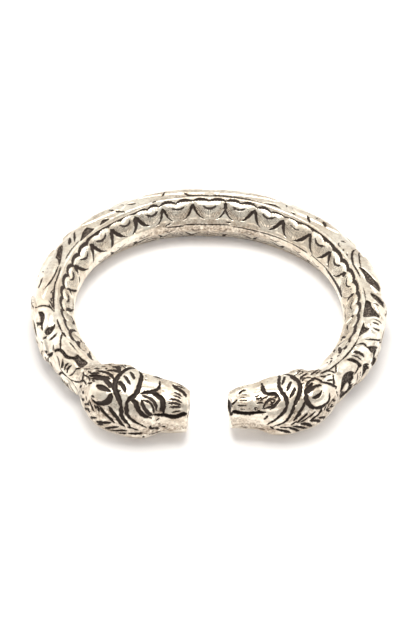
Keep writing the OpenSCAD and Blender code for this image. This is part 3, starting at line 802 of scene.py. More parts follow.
rightScrolls = {
    "pockets": [
        [(20.4, 0.7), (22.2, 1.15), (24.2, 1.6), (26.4, 1.65), (28.4, 1.1), (29.5, 0.5), (27, 0.8),
         (24.6, 0.8), (22.4, 0.65)],
        [(32.9, 0.6), (33.6, 1.05), (34.4, 1.15), (35.4, 0.85), (36.3, 0.4), (34.6, 0.5)],
        [(45.4, 3.3), (45.8, 2.3), (48.1, 2.0), (47.3, 2.9)],
        [(73.0, 1.15), (73.9, 1.9), (76, 2.6), (77.8, 3.2), (79.4, 3.8), (81, 4.75), (83.1, 4.6), (84.8, 3.9),
         (83.8, 3.1), (82, 2.2), (80, 1.65), (77, 1.45), (75, 1.25)],
        [(86.3, 1.9), (86.5, 3.2), (87.1, 4.6), (86.9, 5.8), (85.5, 7.0), (87.6, 6.3), (90.1, 5.5),
         (90.7, 4.8), (89.9, 3.4), (88.4, 2.2)],
        [(90.3, 0.75), (90.9, 1.7), (93.2, 2.05), (94.6, 2.9), (96.3, 4.3), (97.4, 2.8), (99, 1.2),
         (99.2, 0.3), (96, 0.25), (92, 0.45)],
        [(101.8, 0.7), (104, 1.3), (103.9, 2.3), (106, 1.85), (108, 1.25), (109.7, 0.85), (106.8, 0.6)],
        [(111.3, 3.5), (109.5, 4.3), (108, 5.2), (107, 6.0), (106.7, 7.1), (108.5, 7.9), (110.6, 8.3),
         (111.4, 6.8), (110.4, 5.8), (111.4, 4.7)],
        [(122, 1.6), (120, 1.95), (118.7, 3.0), (117.7, 4.3), (117.1, 5.6), (118.9, 5.2), (119.5, 3.8),
         (120.7, 2.9), (121.8, 2.2)],
        [(113.4, 8.4), (113.3, 7.0), (115.3, 5.9), (116.6, 5.8), (116.7, 7.5), (115.6, 8.4)],
        [(121.8, 4.9), (123.4, 4.0), (125.5, 3.65), (127.5, 3.75), (129, 4.6), (129.6, 5.6), (130.3, 6.9),
         (129, 7.4), (127, 6.3), (125.6, 6.2), (124.9, 7.0), (124.7, 8.3), (123.2, 8.9), (122.5, 8.0),
         (123.3, 6.8), (122, 6.6), (122.1, 5.6)],
    ],
    "leaves": [
        [(36, 1.3), (42, 1.5), (50, 2.3), (54, 4.0), (46, 4.8), (38, 3.6), (33, 2.4)],
        [(66, 3.4), (68.5, 1.6), (72, 0.8), (76, 1.0), (81, 1.9), (86, 3.4), (84, 5.2), (76, 5.4), (69, 5.0)],
        [(91, 2.4), (94.5, 3.2), (96.4, 4.6), (95.2, 6.4), (91.5, 6.2), (90.7, 4.2)],
        [(99.6, 2.0), (102.5, 1.6), (104.8, 3.0), (103.2, 5.2), (100.2, 6.2), (97.8, 5.6), (98.0, 3.8)],
        [(114.7, 1.3), (110.3, 1.8), (106.6, 3.4), (102.4, 6.8), (105.9, 5.4), (109.9, 3.4), (112.6, 2.8)],
        [(117.3, 1.3), (113.9, 1.9), (111.9, 3.3), (111.2, 5.0), (112.4, 6.4), (115.0, 5.4), (117.0, 3.4)],
        [(122.5, 1.5), (126.5, 1.2), (129.5, 2.0), (128.5, 3.4), (124.5, 3.4), (120.5, 2.9)],
    ],
    "lines": [
        (0.75, 0.65, [(-3, 1.4), (3, 1.3), (8, 1.15), (14, 1.0), (20.5, 0.9)]),
        (0.5, 0.35, [(42.6, 0.4), (41, 1.2), (39.2, 2.0)]),
        (0.3, 0.24, [(43.1, 2.3), (42.2, 3.3)]),
        (0.24, 0.3, [(30.4, 2.1), (29.2, 3.4)]),
        (0.4, 0.4, [(57.2, 1.8), (58.5, 2.7)]),
        (0.3, 0.3, [(60.3, 0.4), (58.6, 0.6), (57.5, 1.2)]),
        (0.3, 0.26, [(62.8, 0.3), (61.3, 0.8)]),
        (0.24, 0.24, [(65.6, 0.35), (64.2, 0.75)]),
        (0.4, 0.5, [(62.4, 3.9), (63.3, 2.8), (64.8, 1.9), (67, 1.1), (69, 0.7), (71, 0.4)]),
        (0.36, 0.4, [(70, 0.35), (73.5, 0.45), (78.2, 0.6)]),
        (0.24, 0.3, [(63.3, 4.8), (65, 3.7), (67.5, 2.7), (70.5, 1.95), (73.2, 1.6)]),
        (0.2, 0.2, [(84, 0.55), (87, 0.6), (90.4, 0.6)]),
        (0.3, 0.24, [(91.3, 2.3), (92.4, 3.6)]),
        (0.3, 0.34, [(99.3, 2.6), (98.9, 3.7), (98.5, 4.9)]),
        (0.3, 0.3, [(101.2, 2.5), (100.7, 3.2), (100.2, 4.0)]),
        (0.3, 0.36, [(103.3, 2.8), (102.9, 3.7), (101.8, 4.7)]),
        (0.3, 0.26, [(109.7, 2.4), (108, 3.4), (106.5, 4.4), (105, 5.4), (103.5, 6.2), (102.3, 7.0)]),
        (0.28, 0.24, [(105, 6.2), (103.4, 7.0), (101.6, 8.1)]),
        (0.3, 0.34, [(114.8, 1.0), (112.5, 2.0), (111.4, 3.0), (111.1, 4.0)]),
        (0.5, 0.5, [(117.4, 1.7), (116.2, 2.7), (115.3, 4.1)]),
        (0.28, 0.24, [(118.9, 1.8), (117.5, 3.0), (116.6, 4.4)]),
        (0.5, 0.5, [(119, 4.8), (120, 5.2), (121.5, 5.6)]),
        (0.3, 0.24, [(119.6, 6.0), (119.7, 7.2), (119, 8.2)]),
        (0.26, 0.24, [(118.2, 6.4), (118.1, 7.6)]),
        (0.24, 0.34, [(110, 0.95), (115, 1.0), (119.5, 0.95), (124, 0.9)]),
        (0.3, 0.3, [(124, 0.9), (129, 0.75), (135, 0.5)]),
        (0.34, 0.3, [(126.8, 0.8), (128.2, 1.4), (129.7, 2.2)]),
        (0.3, 0.3, [(132.4, 0.6), (131, 1.0), (129.9, 1.9)]),
        (0.34, 0.5, [(131.3, 2.0), (132.6, 2.9), (133.9, 4.3)]),
        (0.4, 0.34, [(137.2, 2.3), (135.4, 3.5), (133.4, 4.6)]),
        (0.4, 0.4, [(132.6, 4.8), (133.6, 5.0)]),
    ],
}
# Leaves down the middle of the outer side, where the photograph shows only their edges.
# The outline, midrib and veins are shares of a leaf's half length and half width
sprigs = {
    "count": 7,
    "pitch": 18.0,          # degrees
    "end": 104,             # nothing is cut beyond this angle
    "within": 3.2,          # or further than this from the middle
    "above": 2.1,
    "half": (4.2, 1.05),
    "turn": 26,             # leaves are turned up and down in turn
    "leaf": {"height": 0.4, "edge": 0.7},
    "outline": [(-1, 0), (-0.5, 0.8), (0.1, 1), (0.7, 0.6), (1, 0), (0.6, -0.7), (0, -1), (-0.6, -0.7)],
    "midrib": (-0.85, -0.3, 0.3, 0.8),
    "ribBend": 0.1,
    "ribCut": {"width": 0.3, "depth": 0.2},
    "veins": (-0.5, -0.15, 0.2, 0.5),
    "veinRun": (0.16, 0.15, 0.72),  # how far forward, and across from here to there
    "veinCut": {"width": 0.22, "depth": 0.1, "dark": 0.7},
    "gap": [(3.2, -0.2), (4.6, -1.1), (6.1, -0.9), (7.2, 0.1), (5.4, 0.3)],
    "gapDepth": 0.5,
}


# A point of leaf n, a millimetres along it and b across
def leafPoint(n, a, b):
    turn = math.radians(sprigs["turn"] * (1 if n % 2 == 0 else -1))
    at = n * sprigs["pitch"] * scrolls["degree"]
    return (at + a * math.cos(turn) - b * math.sin(turn),
            -sprigs["above"] + a * math.sin(turn) + b * math.cos(turn))


def cutScrolls(sheet, side):
    g = sheet.grid
    table = leftScrolls if side < 0 else rightScrolls
    unit = (scrolls["degree"], 1)
    u, v = g["angle"] * scrolls["degree"], g["rim"]
    outer = g["outer"] & (g["share"][:, None] < 0.97)
    for points in [scrolls["backLeaf"]] + table["leaves"]:
        sheet.swelling(u, v, outer, scaled(points, *unit), **scrolls["leaf"])
    for points in table["pockets"]:
        sheet.pocket(u, v, outer, scaled(points, *unit), **scrolls["pocket"])
    sheet.lines(u, v, outer, table["lines"], unit, scrolls["bolder"], scrolls["lineDepth"])
    for points in scrolls["brownPatches"]:
        sheet.patch(u, v, outer, scaled(points, *unit), **scrolls["stain"])

    w = v - g["length"] / 2
    middle = outer & (g["angle"] < sprigs["end"]) & (w > -sprigs["within"])
    longHalf, wideHalf = sprigs["half"]
    forward, near, far = sprigs["veinRun"]
    for n in range(sprigs["count"]):
        shape = [leafPoint(n, longHalf * a, wideHalf * b) for a, b in sprigs["outline"]]
        sheet.swelling(u, w, outer, shape, **sprigs["leaf"])
        rib = [leafPoint(n, longHalf * a, sprigs["ribBend"] * math.sin(3 * a)) for a in sprigs["midrib"]]
        sheet.line(u, w, middle, rib, **sprigs["ribCut"])
        for a in sprigs["veins"]:
            for b in (-1, 1):
                foot = leafPoint(n, longHalf * a, near * b)
                tip = leafPoint(n, longHalf * (a + forward), far * wideHalf * b)
                sheet.line(u, w, middle, [foot, tip], **sprigs["veinCut"])
        at = n * sprigs["pitch"] * scrolls["degree"]
        sheet.pocket(u, w, middle, [(at + a, b) for a, b in sprigs["gap"]], sprigs["gapDepth"])


# The heads. Points are millimetres back from the nose and degrees from the top of the head.
# Each stroke has its width at the start and at the end.
leftHead = {
    "whiskers": [
        (0.34, 0.34, [(1.2, 8.5), (2, 5), (2.9, 3)]),
        (0.3, 0.3, [(1.2, 16.5), (2.1, 14), (2.9, 14)]),
        (0.3, 0.3, [(0.8, 26), (2.1, 23.5), (3.5, 24.5)]),
        (0.32, 0.32, [(0.7, 32.5), (2.2, 31.5), (3.6, 34)]),
        (0.28, 0.28, [(0.7, 36.5), (2, 39), (3.3, 41.5)]),
        (0.26, 0.24, [(0.6, 46), (1.7, 49), (2.6, 53)]),
    ],
    "whiskerWidth": 1.9,
    "fineWidth": 1.15,
    "whiskerDark": 0.9,
    "fine": [
        (0.6, 0.66, [(9.2, 25), (8.2, 28), (7.3, 31), (6.7, 36.5), (6.3, 42.5), (6.2, 51)]),
        (0.4, 0.44, [(8.8, 35), (7.9, 36.5), (7.2, 41), (6.8, 49), (6.7, 57)]),
        (0.66, 0.66, [(9.15, 35), (8.8, 42.5), (8.2, 50.5), (7.5, 58), (6.9, 61.5)]),
    ],
    "mane": [
        (16.0, 66, 15.7, 72), (17.6, 70, 17.2, 78), (18.4, 66, 18.2, 74), (18.0, 84, 18.8, 94),
        (16.8, 88, 17.6, 98), (19.4, 84, 20.0, 96), (16.4, 104, 17.2, 112), (18.2, 102, 18.9, 110),
        (19.4, 62, 19.6, 72), (20.2, 56, 20.6, 66), (20.4, 76, 20.8, 88), (18.9, 34, 19.8, 30),
        (19.2, 45, 20.3, 42), (15.6, -22, 17.4, -24), (18.2, -20, 19.4, -16), (18.9, -8, 19.8, -4),
        (19.4, 4, 20.3, 10), (14.9, -30, 16.2, -33), (18.6, -28, 19.6, -24), (12.2, 62, 11.9, 68),
    ],
    "over": [               # these cross the crown, so both cheeks share them
        (0.95, 0.6, [(10.15, -6), (10.1, 6), (10.15, 18), (10.4, 26), (10.85, 33), (11.3, 40), (11.5, 48)]),
        (0.6, 0.35, [(11.45, 42), (11.3, 54), (11.1, 64), (10.4, 73), (9.5, 80), (8.6, 87), (7.9, 94)]),
        (0.95, 0.75, [(14.75, -6), (14.75, 4), (14.6, 14), (14.2, 24), (13.6, 32), (12.9, 40), (12.4, 47),
                      (12.1, 56)]),
        (0.75, 0.5, [(12.2, 50), (12.0, 62), (11.85, 69), (11.3, 78), (10.6, 90)]),
    ],
    "sides": [              # these are on both cheeks
        (0.9, 1.0, [(7.5, 16), (6.2, 21), (5.3, 25.5), (4.9, 32), (4.8, 38), (4.65, 46), (4.5, 56)]),
        (0.7, 0.5, [(4.4, 49), (5.0, 49), (5.3, 47)]),
        (0.7, 0.72, [(10.8, 38.5), (10.1, 41), (9.75, 47.5), (9.2, 55), (8.4, 62), (7.2, 67)]),
        (0.75, 0.4, [(14.15, 38), (14.15, 45.5), (14.4, 52), (15, 56.5), (15.7, 60), (16.3, 60), (17, 56.5)]),
        (0.5, 0.55, [(14, 57.5), (13.4, 65), (12.7, 72), (12.3, 78), (11.8, 87), (11.4, 92)]),
        (0.4, 0.5, [(15.2, 64), (14.4, 72), (13.6, 79.5), (13, 87.5)]),
        (0.34, 0.3, [(15.5, 65), (15.2, 74)]),
        (0.4, 0.4, [(17.3, 66.5), (16.6, 73), (16, 80.5)]),
        (0.36, 0.26, [(11, 92), (10.2, 94.5), (9.2, 100)]),
        (0.5, 0.4, [(8.5, 107.5), (9.7, 109), (11, 110.5)]),
        (0.5, 0.4, [(11.1, 102), (12, 105), (12.9, 109), (14, 111)]),
        (0.45, 0.4, [(12.3, 95.5), (13.3, 100), (13.8, 104.5), (14.4, 111)]),
        (0.45, 0.4, [(13.5, 88.5), (14.4, 93.5), (15.1, 98), (15.6, 104)]),
        (0.3, 0.3, [(15.5, 91), (16.2, 98), (16.9, 107)]),
        (0.3, 0.3, [(17.1, 85), (18.2, 99.5), (19, 111)]),
        (0.4, 0.3, [(11.2, 111.5), (12.8, 117.5)]),
        (0.3, 0.3, [(17.4, 76), (18.5, 88)]),
        (0.3, 0.3, [(18.9, 78), (19.7, 96)]),
        (0.36, 0.36, [(7.2, 90), (7.2, 97), (6.4, 99.5), (5.2, 103.5)]),
        (0.3, 0.3, [(4.0, 98.5), (4.6, 99)]),
        (0.3, 0.2, [(5.3, 69), (5.9, 73), (6.1, 78)]),
        (0.3, 0.24, [(14.6, 99), (15.6, 110)]),
        (0.34, 0.3, [(18.2, 35.5), (19, 40.5)]),
        (0.34, 0.3, [(20.4, 46), (21.6, 40)]),
        (0.3, 0.3, [(16.3, 52), (16.8, 53)]),
        (0.34, 0.26, [(8.3, 117.5), (8.4, 123)]),
        (0.4, 0.3, [(5.0, 114), (6.4, 117), (7.6, 116)]),
    ],
    "top": [                # these only where they stand
        (0.2, 0.75, [(6.25, -22), (6.1, -10), (6.15, -0.5), (6.5, 7), (7.1, 12)]),
        (0.75, 0.5, [(6.6, 9), (7.2, 13), (7.9, 16.5), (8.8, 19), (9.5, 22.5)]),
        (0.6, 0.55, [(12.9, -20), (12.1, -13), (11.4, -6)]),
        (0.5, 0.5, [(13.8, -6), (12.6, 2), (11.8, 10)]),
        (0.65, 0.6, [(14.0, 10), (12.9, 18), (12.1, 27)]),
        (0.28, 0.3, [(14.4, -25), (16, -27.5), (17.4, -30)]),
        (0.6, 0.6, [(15.1, -12), (16.2, -17), (17, -18), (17.9, -15)]),
        (0.5, 0.45, [(15.2, -9), (16.3, -9), (17, -6), (17.8, -2)]),
        (0.3, 0.3, [(18.1, -3), (18.5, -5)]),
        (0.5, 0.45, [(15.1, 9.5), (16, 5), (17, 3.5), (17.8, 5), (18.7, 8), (19.5, 12.5)]),
        (0.45, 0.4, [(15.8, 12), (16.8, 13.5), (17.6, 17)]),
        (0.7, 0.7, [(14.7, 27), (15.4, 22), (16.2, 18.5), (17.2, 18)]),
        (0.8, 0.5, [(16.6, 18.5), (17.4, 18.5), (18.1, 19.5), (18.8, 22), (19.8, 28)]),
        (0.4, 0.3, [(17.2, 22), (18.2, 26), (19.1, 30.5)]),
        (0.4, 0.3, [(18.4, 12), (19.2, 17), (19.8, 21.5), (20.9, 22.5)]),
        (0.3, 0.3, [(13.1, 27.5), (13.6, 28.5)]),
        (0.7, 0.75, [(0.5, 3), (0.9, -3), (1.4, -8), (2.3, -10), (3.1, -13.5), (3.7, -20)]),
        (0.3, 0.2, [(9, -14), (9.2, -12)]),
        (0.3, 0.2, [(9.2, -27), (9.8, -25)]),
        (0.24, 0.2, [(17.9, 30), (18.6, 32)]),
        (0.3, 0.3, [(21.4, -13), (21, -9)]),
        (0.26, 0.24, [(19.6, 30), (20.9, 34), (22.2, 36)]),
        (0.26, 0.24, [(19.9, 42), (21, 50), (21.4, 60)]),
        (0.26, 0.24, [(20.8, 16), (21.8, 22), (22.6, 26)]),
        (0.3, 0.24, [(20.6, 60), (20.9, 74)]),
    ],
    "mouth": [
        (0.85, 1.05, [(-0.4, 49), (0.5, 57), (1.5, 62.5), (2.6, 63.5), (3.6, 62)]),
        (0.8, 0.45, [(3.2, 62), (4.2, 60.5), (5.2, 61), (6.8, 60)]),
    ],
    "pit": [
        (14.3, 34), (15.0, 30.5), (15.8, 29.3), (16.6, 31.3),
        (17.0, 35.5), (16.2, 38.7), (15.4, 38.3), (14.7, 36.4),
    ],
    # brown patches with their strength: patina in some, painted shade in others, such as those on the jaws,
    # the lower cheeks and the brow
    "patches": [
        (0.9, [(4.2, 44), (5.4, 45), (6.3, 52), (6.4, 61), (4.4, 61), (4.0, 54)]),
        (0.8, [(5.0, 2), (6.0, -2), (6.6, 8), (6.4, 15), (5.6, 19), (4.9, 15)]),
        (0.5, [(12.4, 46), (13.8, 43), (13.9, 56), (12.7, 60)]),
        (0.9, [(13.6, 62), (17.2, 63), (16.6, 82), (12.6, 84)]),
        (0.6, [(5.2, 66), (6.3, 66), (6.4, 78), (5.3, 78)]),
        (0.9, [(3.2, 90), (5.4, 83), (8, 94), (8.5, 114), (-0.5, 112), (-0.5, 98)]),
        (0.4, [(-0.3, -12), (4.2, -12), (4.6, 30), (-0.3, 36)]),
        (0.45, [(-0.5, 72), (5, 80), (8, 92), (8.5, 104), (-0.5, 102)]),
        (0.5, [(9, 84), (16, 80), (18, 100), (11, 110)]),
        (0.6, [(9, 66), (11, 62), (10, 80), (7.4, 92), (7.0, 84)]),
        (0.55, [(14.8, 84), (19.6, 78), (20.6, 96), (17, 112), (12, 116), (11, 104)]),
        (0.7, [(17.6, 4), (21, 0), (24, 20), (23.5, 60), (20.6, 72), (18.2, 60), (18, 30)]),
        (0.75, [(14.5, -30), (18.6, -30), (19.8, -10), (19, 12), (15.4, 12)]),
    ],
}
rightHead = {
    "whiskers": [
        (0.24, 0.22, [(2, 4), (3.3, 9)]),
        (0.22, 0.22, [(1.3, 14), (2.8, 18)]),
        (0.24, 0.22, [(1.1, 23.5), (2.9, 26.5)]),
        (0.34, 0.3, [(0.5, 34.5), (1.5, 37), (2.6, 38.5)]),
        (0.22, 0.2, [(1, 45), (2.2, 48)]),
    ],
    "whiskerWidth": 1.4,
    "fineWidth": 1.35,
    "whiskerDark": 0.75,
    "fine": [
        (0.26, 0.3, [(4.7, 18), (5.4, 18)]),
        (0.3, 0.24, [(4.8, 25), (5.6, 25), (6.4, 27)]),
        (0.34, 0.3, [(4.9, 37), (5.6, 35), (6.4, 37)]),
        (0.26, 0.36, [(6.2, 48), (6.5, 42), (6.9, 35), (7.5, 29), (8.6, 27)]),
        (0.3, 0.24, [(5.6, 31), (6.6, 25), (7.3, 22)]),
        (0.24, 0.24, [(7.0, 40), (7.2, 35), (7.9, 32), (8.7, 33)]),
        (0.22, 0.22, [(8.5, 30), (8.3, 36), (7.6, 41)]),
        (0.24, 0.2, [(7.6, 36), (8.0, 38), (7.8, 42)]),
        (0.24, 0.2, [(6.0, 22), (5.6, 26)]),
        (0.5, 0.3, [(9.5, 27), (9.3, 35), (8.4, 42), (7.4, 46), (5.9, 49)]),
        (0.24, 0.22, [(9.1, 38), (8.5, 44), (7.5, 51)]),
        (0.3, 0.24, [(4.3, 46), (4.5, 52)]),
        (0.24, 0.22, [(4.5, 45), (5.3, 49)]),
        (0.22, 0.2, [(4.9, 52), (5.5, 54)]),
    ],
    "mane": [
        (16.4, 70, 15.6, 77), (17.3, 72, 16.6, 80), (18.2, 72, 17.5, 81), (19.0, 68, 18.3, 78),
        (17.6, 84, 18.3, 92), (18.6, 82, 19.2, 91), (19.4, 78, 19.9, 88), (17.9, 96, 18.7, 105),
        (19.0, 94, 19.6, 102), (20.2, 60, 20.6, 71), (20.6, 74, 20.9, 86), (16.8, 104, 17.4, 114),
        (14.9, 72, 13.9, 80), (12.6, 66, 12.0, 74), (18.9, 12, 19.9, 14), (18.4, -2, 19.6, -3),
        (15.0, -18, 16.6, -20), (17.6, -16, 18.6, -18), (19.6, -4, 20.6, -6), (19.2, 24, 20.4, 30),
        (20.0, 14, 21.0, 18), (15.4, -28, 17.0, -30),
    ],
    "over": [
        (0.7, 0.65, [(9.85, -6), (9.85, 1), (10, 10), (10.15, 18), (10.5, 25.5), (10.65, 35), (10.65, 43),
                     (10.5, 50)]),
        (0.65, 0.4, [(10.6, 46), (10.1, 56.5), (9.4, 65), (8.65, 73.5), (8, 83.5), (7.2, 95)]),
        (0.9, 0.7, [(14, -6), (14, 1), (13.85, 11.5), (13.4, 22.5), (12.75, 33), (12, 42.5), (11.6, 50)]),
        (0.5, 0.36, [(11.7, 47), (11.4, 56), (10.9, 69), (10.3, 81), (9.5, 89), (8.1, 98)]),
    ],
    "sides": [
        (0.6, 0.6, [(14.2, 31), (13.85, 41), (14, 50.5), (14.45, 58), (15.1, 64)]),
        (0.6, 0.4, [(14.8, 62), (16.1, 66.5), (17.2, 66.5), (18, 65), (18.3, 57), (18.45, 49)]),
        (0.4, 0.45, [(0.8, 17), (0.3, 22), (-0.3, 28)]),
        (0.36, 0.3, [(7.2, 65), (6.8, 73), (6.5, 81)]),
        (0.36, 0.45, [(13.5, 46), (13, 55), (12.5, 61), (12, 70.5), (11.5, 81)]),
        (0.3, 0.3, [(11.4, 60), (10.9, 70), (10.6, 78)]),
        (0.4, 0.4, [(13.7, 69), (12.9, 77), (12, 88.5)]),
        (0.3, 0.3, [(15, 71), (14, 78), (13.2, 84), (12.3, 91)]),
        (0.36, 0.45, [(16.3, 75.5), (15.2, 83), (14.1, 90)]),
        (0.5, 0.5, [(8.7, 104.5), (9.7, 108), (10.5, 112), (11.3, 119)]),
        (0.4, 0.5, [(10.9, 99), (11.8, 109), (12.6, 121)]),
        (0.45, 0.5, [(11.5, 97), (12.9, 106), (13.8, 115)]),
        (0.6, 0.5, [(12.7, 92.5), (13.8, 99.5), (14.7, 113)]),
        (0.45, 0.45, [(14.2, 90), (15.4, 98), (16.1, 110)]),
        (0.4, 0.36, [(15.6, 91), (16.6, 99.5), (17.4, 111)]),
        (0.34, 0.3, [(7.8, 99), (8.4, 108)]),
        (0.34, 0.34, [(9.5, 97.5), (11, 101)]),
        (0.3, 0.3, [(11.9, 84), (11.2, 92)]),
        (0.3, 0.3, [(17.2, 80), (17.8, 92), (18.3, 100)]),
        (0.3, 0.3, [(18.3, 84), (19, 95)]),
        (0.3, 0.3, [(19.1, 70), (19.6, 84)]),
        (0.34, 0.26, [(2.3, 61), (2.4, 66)]),
        (0.34, 0.26, [(3.1, 65), (3.6, 61.5)]),
        (0.34, 0.3, [(1.2, 121), (2, 117), (3, 114)]),
        (0.3, 0.3, [(5.6, 118), (6.8, 114)]),
    ],
    "top": [
        (0.24, 0.4, [(6.4, -26), (6.5, -16), (6.5, -8)]),
        (0.75, 0.7, [(6.5, -10), (6.55, 2), (6.7, 10), (7.1, 15)]),
        (0.6, 0.75, [(7.0, 14.5), (7.9, 17), (8.7, 18), (9.3, 25)]),
        (0.5, 0.3, [(8.6, 18), (9.0, 24), (8.6, 28)]),
        (0.55, 0.45, [(12, -27), (11.2, -14), (10.5, -3)]),
        (0.5, 0.5, [(12.6, -5), (11.8, 5), (11.1, 16)]),
        (0.5, 0.5, [(12.7, 14), (12, 23), (11.3, 32)]),
        (0.6, 0.8, [(13.1, -19), (13.4, -12), (13.75, -4)]),
        (0.45, 0.36, [(14.6, -4), (15.5, -10), (16.5, -11.5), (17.2, -14.5)]),
        (0.3, 0.3, [(14.7, 1.5), (15.5, -3), (16.3, -2), (17, 3.5)]),
        (0.4, 0.4, [(14.9, 16), (15.5, 11), (16.3, 8), (17.1, 10)]),
        (0.8, 0.5, [(14.1, 31), (14.8, 24), (15.5, 19.5), (16.4, 14.5)]),
        (0.7, 0.4, [(14.6, 31), (15.8, 25.5), (16.9, 25), (17.6, 27.5)]),
        (0.5, 0.4, [(17.2, 4.5), (17.9, 15), (18.2, 24)]),
        (0.4, 0.4, [(18.1, 22), (19, 30), (19.6, 36.5), (20, 42.5), (20.5, 51)]),
        (0.4, 0.4, [(17.3, -4.5), (18.3, -7.5), (19.5, -10), (20.5, -14), (21.2, -18)]),
        (0.3, 0.4, [(19.1, 4), (20.4, 4), (21.3, 6.5), (21.8, 15), (22, 22)]),
        (0.36, 0.36, [(18.7, 9), (19.5, 16)]),
        (0.22, 0.24, [(13.8, -20), (14.7, -22), (16.1, -24.5), (17.4, -18.5)]),
        (0.4, 0.36, [(16.9, 5), (17.6, 10)]),
        (0.5, 0.45, [(1.7, -0.5), (2.1, -6), (2.65, -9), (3.2, -9)]),
        (0.26, 0.24, [(14.2, 6), (15, 8)]),
    ],
    "mouth": [
        (0.85, 0.85, [(-0.4, 48), (0.7, 56), (2, 59), (3.4, 59.3)]),
        (0.75, 0.5, [(3.0, 59.3), (4.2, 59), (5.4, 58.5), (6.8, 57.5)]),
    ],
    "pit": [(14.7, 42.5), (15.5, 40), (16.3, 38.8), (17.0, 36), (16.6, 42), (15.9, 46.2), (15.1, 46.2)],
    # brown patches with their strength, patina in some and painted shade in others, as on the jaws and lower
    # cheeks
    "patches": [
        (0.8, [(4.9, 16), (6.6, 17), (8.8, 24), (9.0, 36), (7.2, 45), (5.6, 44), (4.7, 34)]),
        (0.95, [(14.2, 18), (15.6, 10), (18.4, 6), (19.2, 14), (18.0, 23), (16.6, 31), (14.3, 33)]),
        (0.8, [(4.1, 44), (5.5, 45), (5.6, 56), (4.3, 56)]),
        (0.6, [(-0.5, 72), (3.5, 82), (6.4, 90), (4, 100), (-0.5, 96)]),
        (0.5, [(-0.3, 2), (3.6, 6), (4.3, 36), (3.8, 56), (-0.3, 52)]),
        (0.5, [(8.2, 52), (9.8, 50), (8.6, 66), (7.0, 74)]),
        (0.75, [(11.2, 60), (13.0, 58), (15.4, 70), (13.4, 92), (10.0, 98)]),
        (0.7, [(16.4, 72), (20.4, 70), (19.4, 104), (12, 118), (12.6, 100)]),
        (0.85, [(-0.5, 102), (6.4, 98), (8.2, 118), (-0.5, 120)]),
        (0.6, [(7.2, 100), (9.0, 101), (9.2, 114), (7.6, 112)]),
        (0.8, [(14.6, -28), (17.6, -26), (20.4, 0), (19.6, 14), (15, 8)]),
    ],
}
# Small corrections of the heads' upper outline: back from the nose, left, right
skyline = [
    (0, 0.2, 0.1), (5, 0.35, 0), (9, 0.1, 0.35), (11, 0.1, 0.3), (13.5, 0.35, 0.15), (16.5, 0.3, 0.15),
    (17.5, 0.3, 0), (18.5, 0.2, -0.6), (20, 0.1, -0.65), (21.5, 0, -0.3), (23.5, 0, 0),
]
# Front of each nose, as millimetres outwards and up from its middle: width, depth and points of
# each stroke. The right one gapes a little.
noseFront = {
    "taper": (0.1, 0.1),
    "gapeDepth": 0.5,
    "cutFade": 6,           # how quickly the cuts and the dark set in behind the front's edge
    "darkFade": 8,
    "left": [
        (0.8, 0.5, [(3.2, 1.7), (2.0, 1.3), (0, 1.15), (-2.0, 1.3), (-3.2, 1.7)]),
        (0.55, 0.3, [(0.5, 2.2), (1.1, 2.9), (1.7, 2.7)]),
        (0.3, 0.15, [(0, 3.0), (0, 1.3)]),
    ],
    "right": [
        (0.8, 0.4, [(3.0, 2.3), (2.0, 0.9), (1.0, -0.2)]),
        (0.7, 0.3, [(2.4, 3.3), (1.3, 2.9), (0.2, 2.4)]),
        (0.6, 0.3, [(-3.2, 0.6), (-2.4, 0.2)]),
    ],
    "gape": [
        (1.4, 2.6), (0, 2.4), (-1.4, 1.6), (-2.5, 0), (-2.6, -1.5),
        (-1.6, -1.6), (-0.6, -1.2), (0.4, -1.0), (1.0, 0.4), (1.4, 1.4),
    ],
}


def cutHead(sheet, side):
    g = sheet.grid
    table = leftHead if side < 0 else rightHead
    station, share = g["station"][:, None], g["share"][:, None]
    turn = np.abs(g["phi"])
    soft = 0
    for at, down, long, wide, height in head["forms"]:
        away = np.hypot((station - at) / long, (turn - down) / wide)
        soft = soft + height * ease(head["formEdge"] * (1 - away))
    blend = head["farBlend"]
    soft = soft * lerp(head["far"], 1, ease((g["phi"] + blend) / (2 * blend)))
    trim = np.array(skyline)
    rise = np.interp(g["back"], trim[:, 0], trim[:, 1 if side < 0 else 2])
    middle, width = head["trim"]
    soft = soft + rise * np.exp(-((g["phi"] - middle) / width) ** 2)
    sheet.soft = soft * share

    onHead = np.repeat(share > 0.02, columns, 1)
    unit = (1, head["degree"])
    u = g["back"] + g["moved"]
    crossing, top = turn * head["degree"], g["phi"] * head["degree"]
    cheeks = np.where(g["phi"] < 0, turn - head["cheekDrop"], turn) * head["degree"]
    least, more = head["depth"]
    for group, v, bolder in (
            ("over", crossing, "overBolder"), ("sides", cheeks, "bolder"), ("top", top, "bolder")):
        for stroke in table[group]:
            depth = least + more * max(stroke[:2])
            sheet.lines(u, v, onHead, [stroke], unit, head[bolder], depth, taper=(0.15, 0.25))
    whiskers = {**head["whiskers"], "dark": table["whiskerDark"]}
    sheet.lines(u, cheeks, onHead, table["whiskers"], unit, table["whiskerWidth"], **whiskers)
    sheet.lines(u, cheeks, onHead, table["fine"], unit, table["fineWidth"], **head["fine"])
    for a, b, c, d in table["mane"]:        # short light strokes between the deep ones
        v = top if b < 30 else cheeks
        sheet.line(u, v, onHead, scaled([(a, b), (c, d)], *unit), **head["mane"])
    sheet.lines(u, crossing, onHead, table["mouth"], unit, head["bolder"], **head["mouth"])
    sheet.pocket(u, cheeks, onHead, scaled(table["pit"], *unit), **head["pit"])
    for strength, points in table["patches"]:
        sheet.patch(u, cheeks, onHead, scaled(points, *unit), strength)


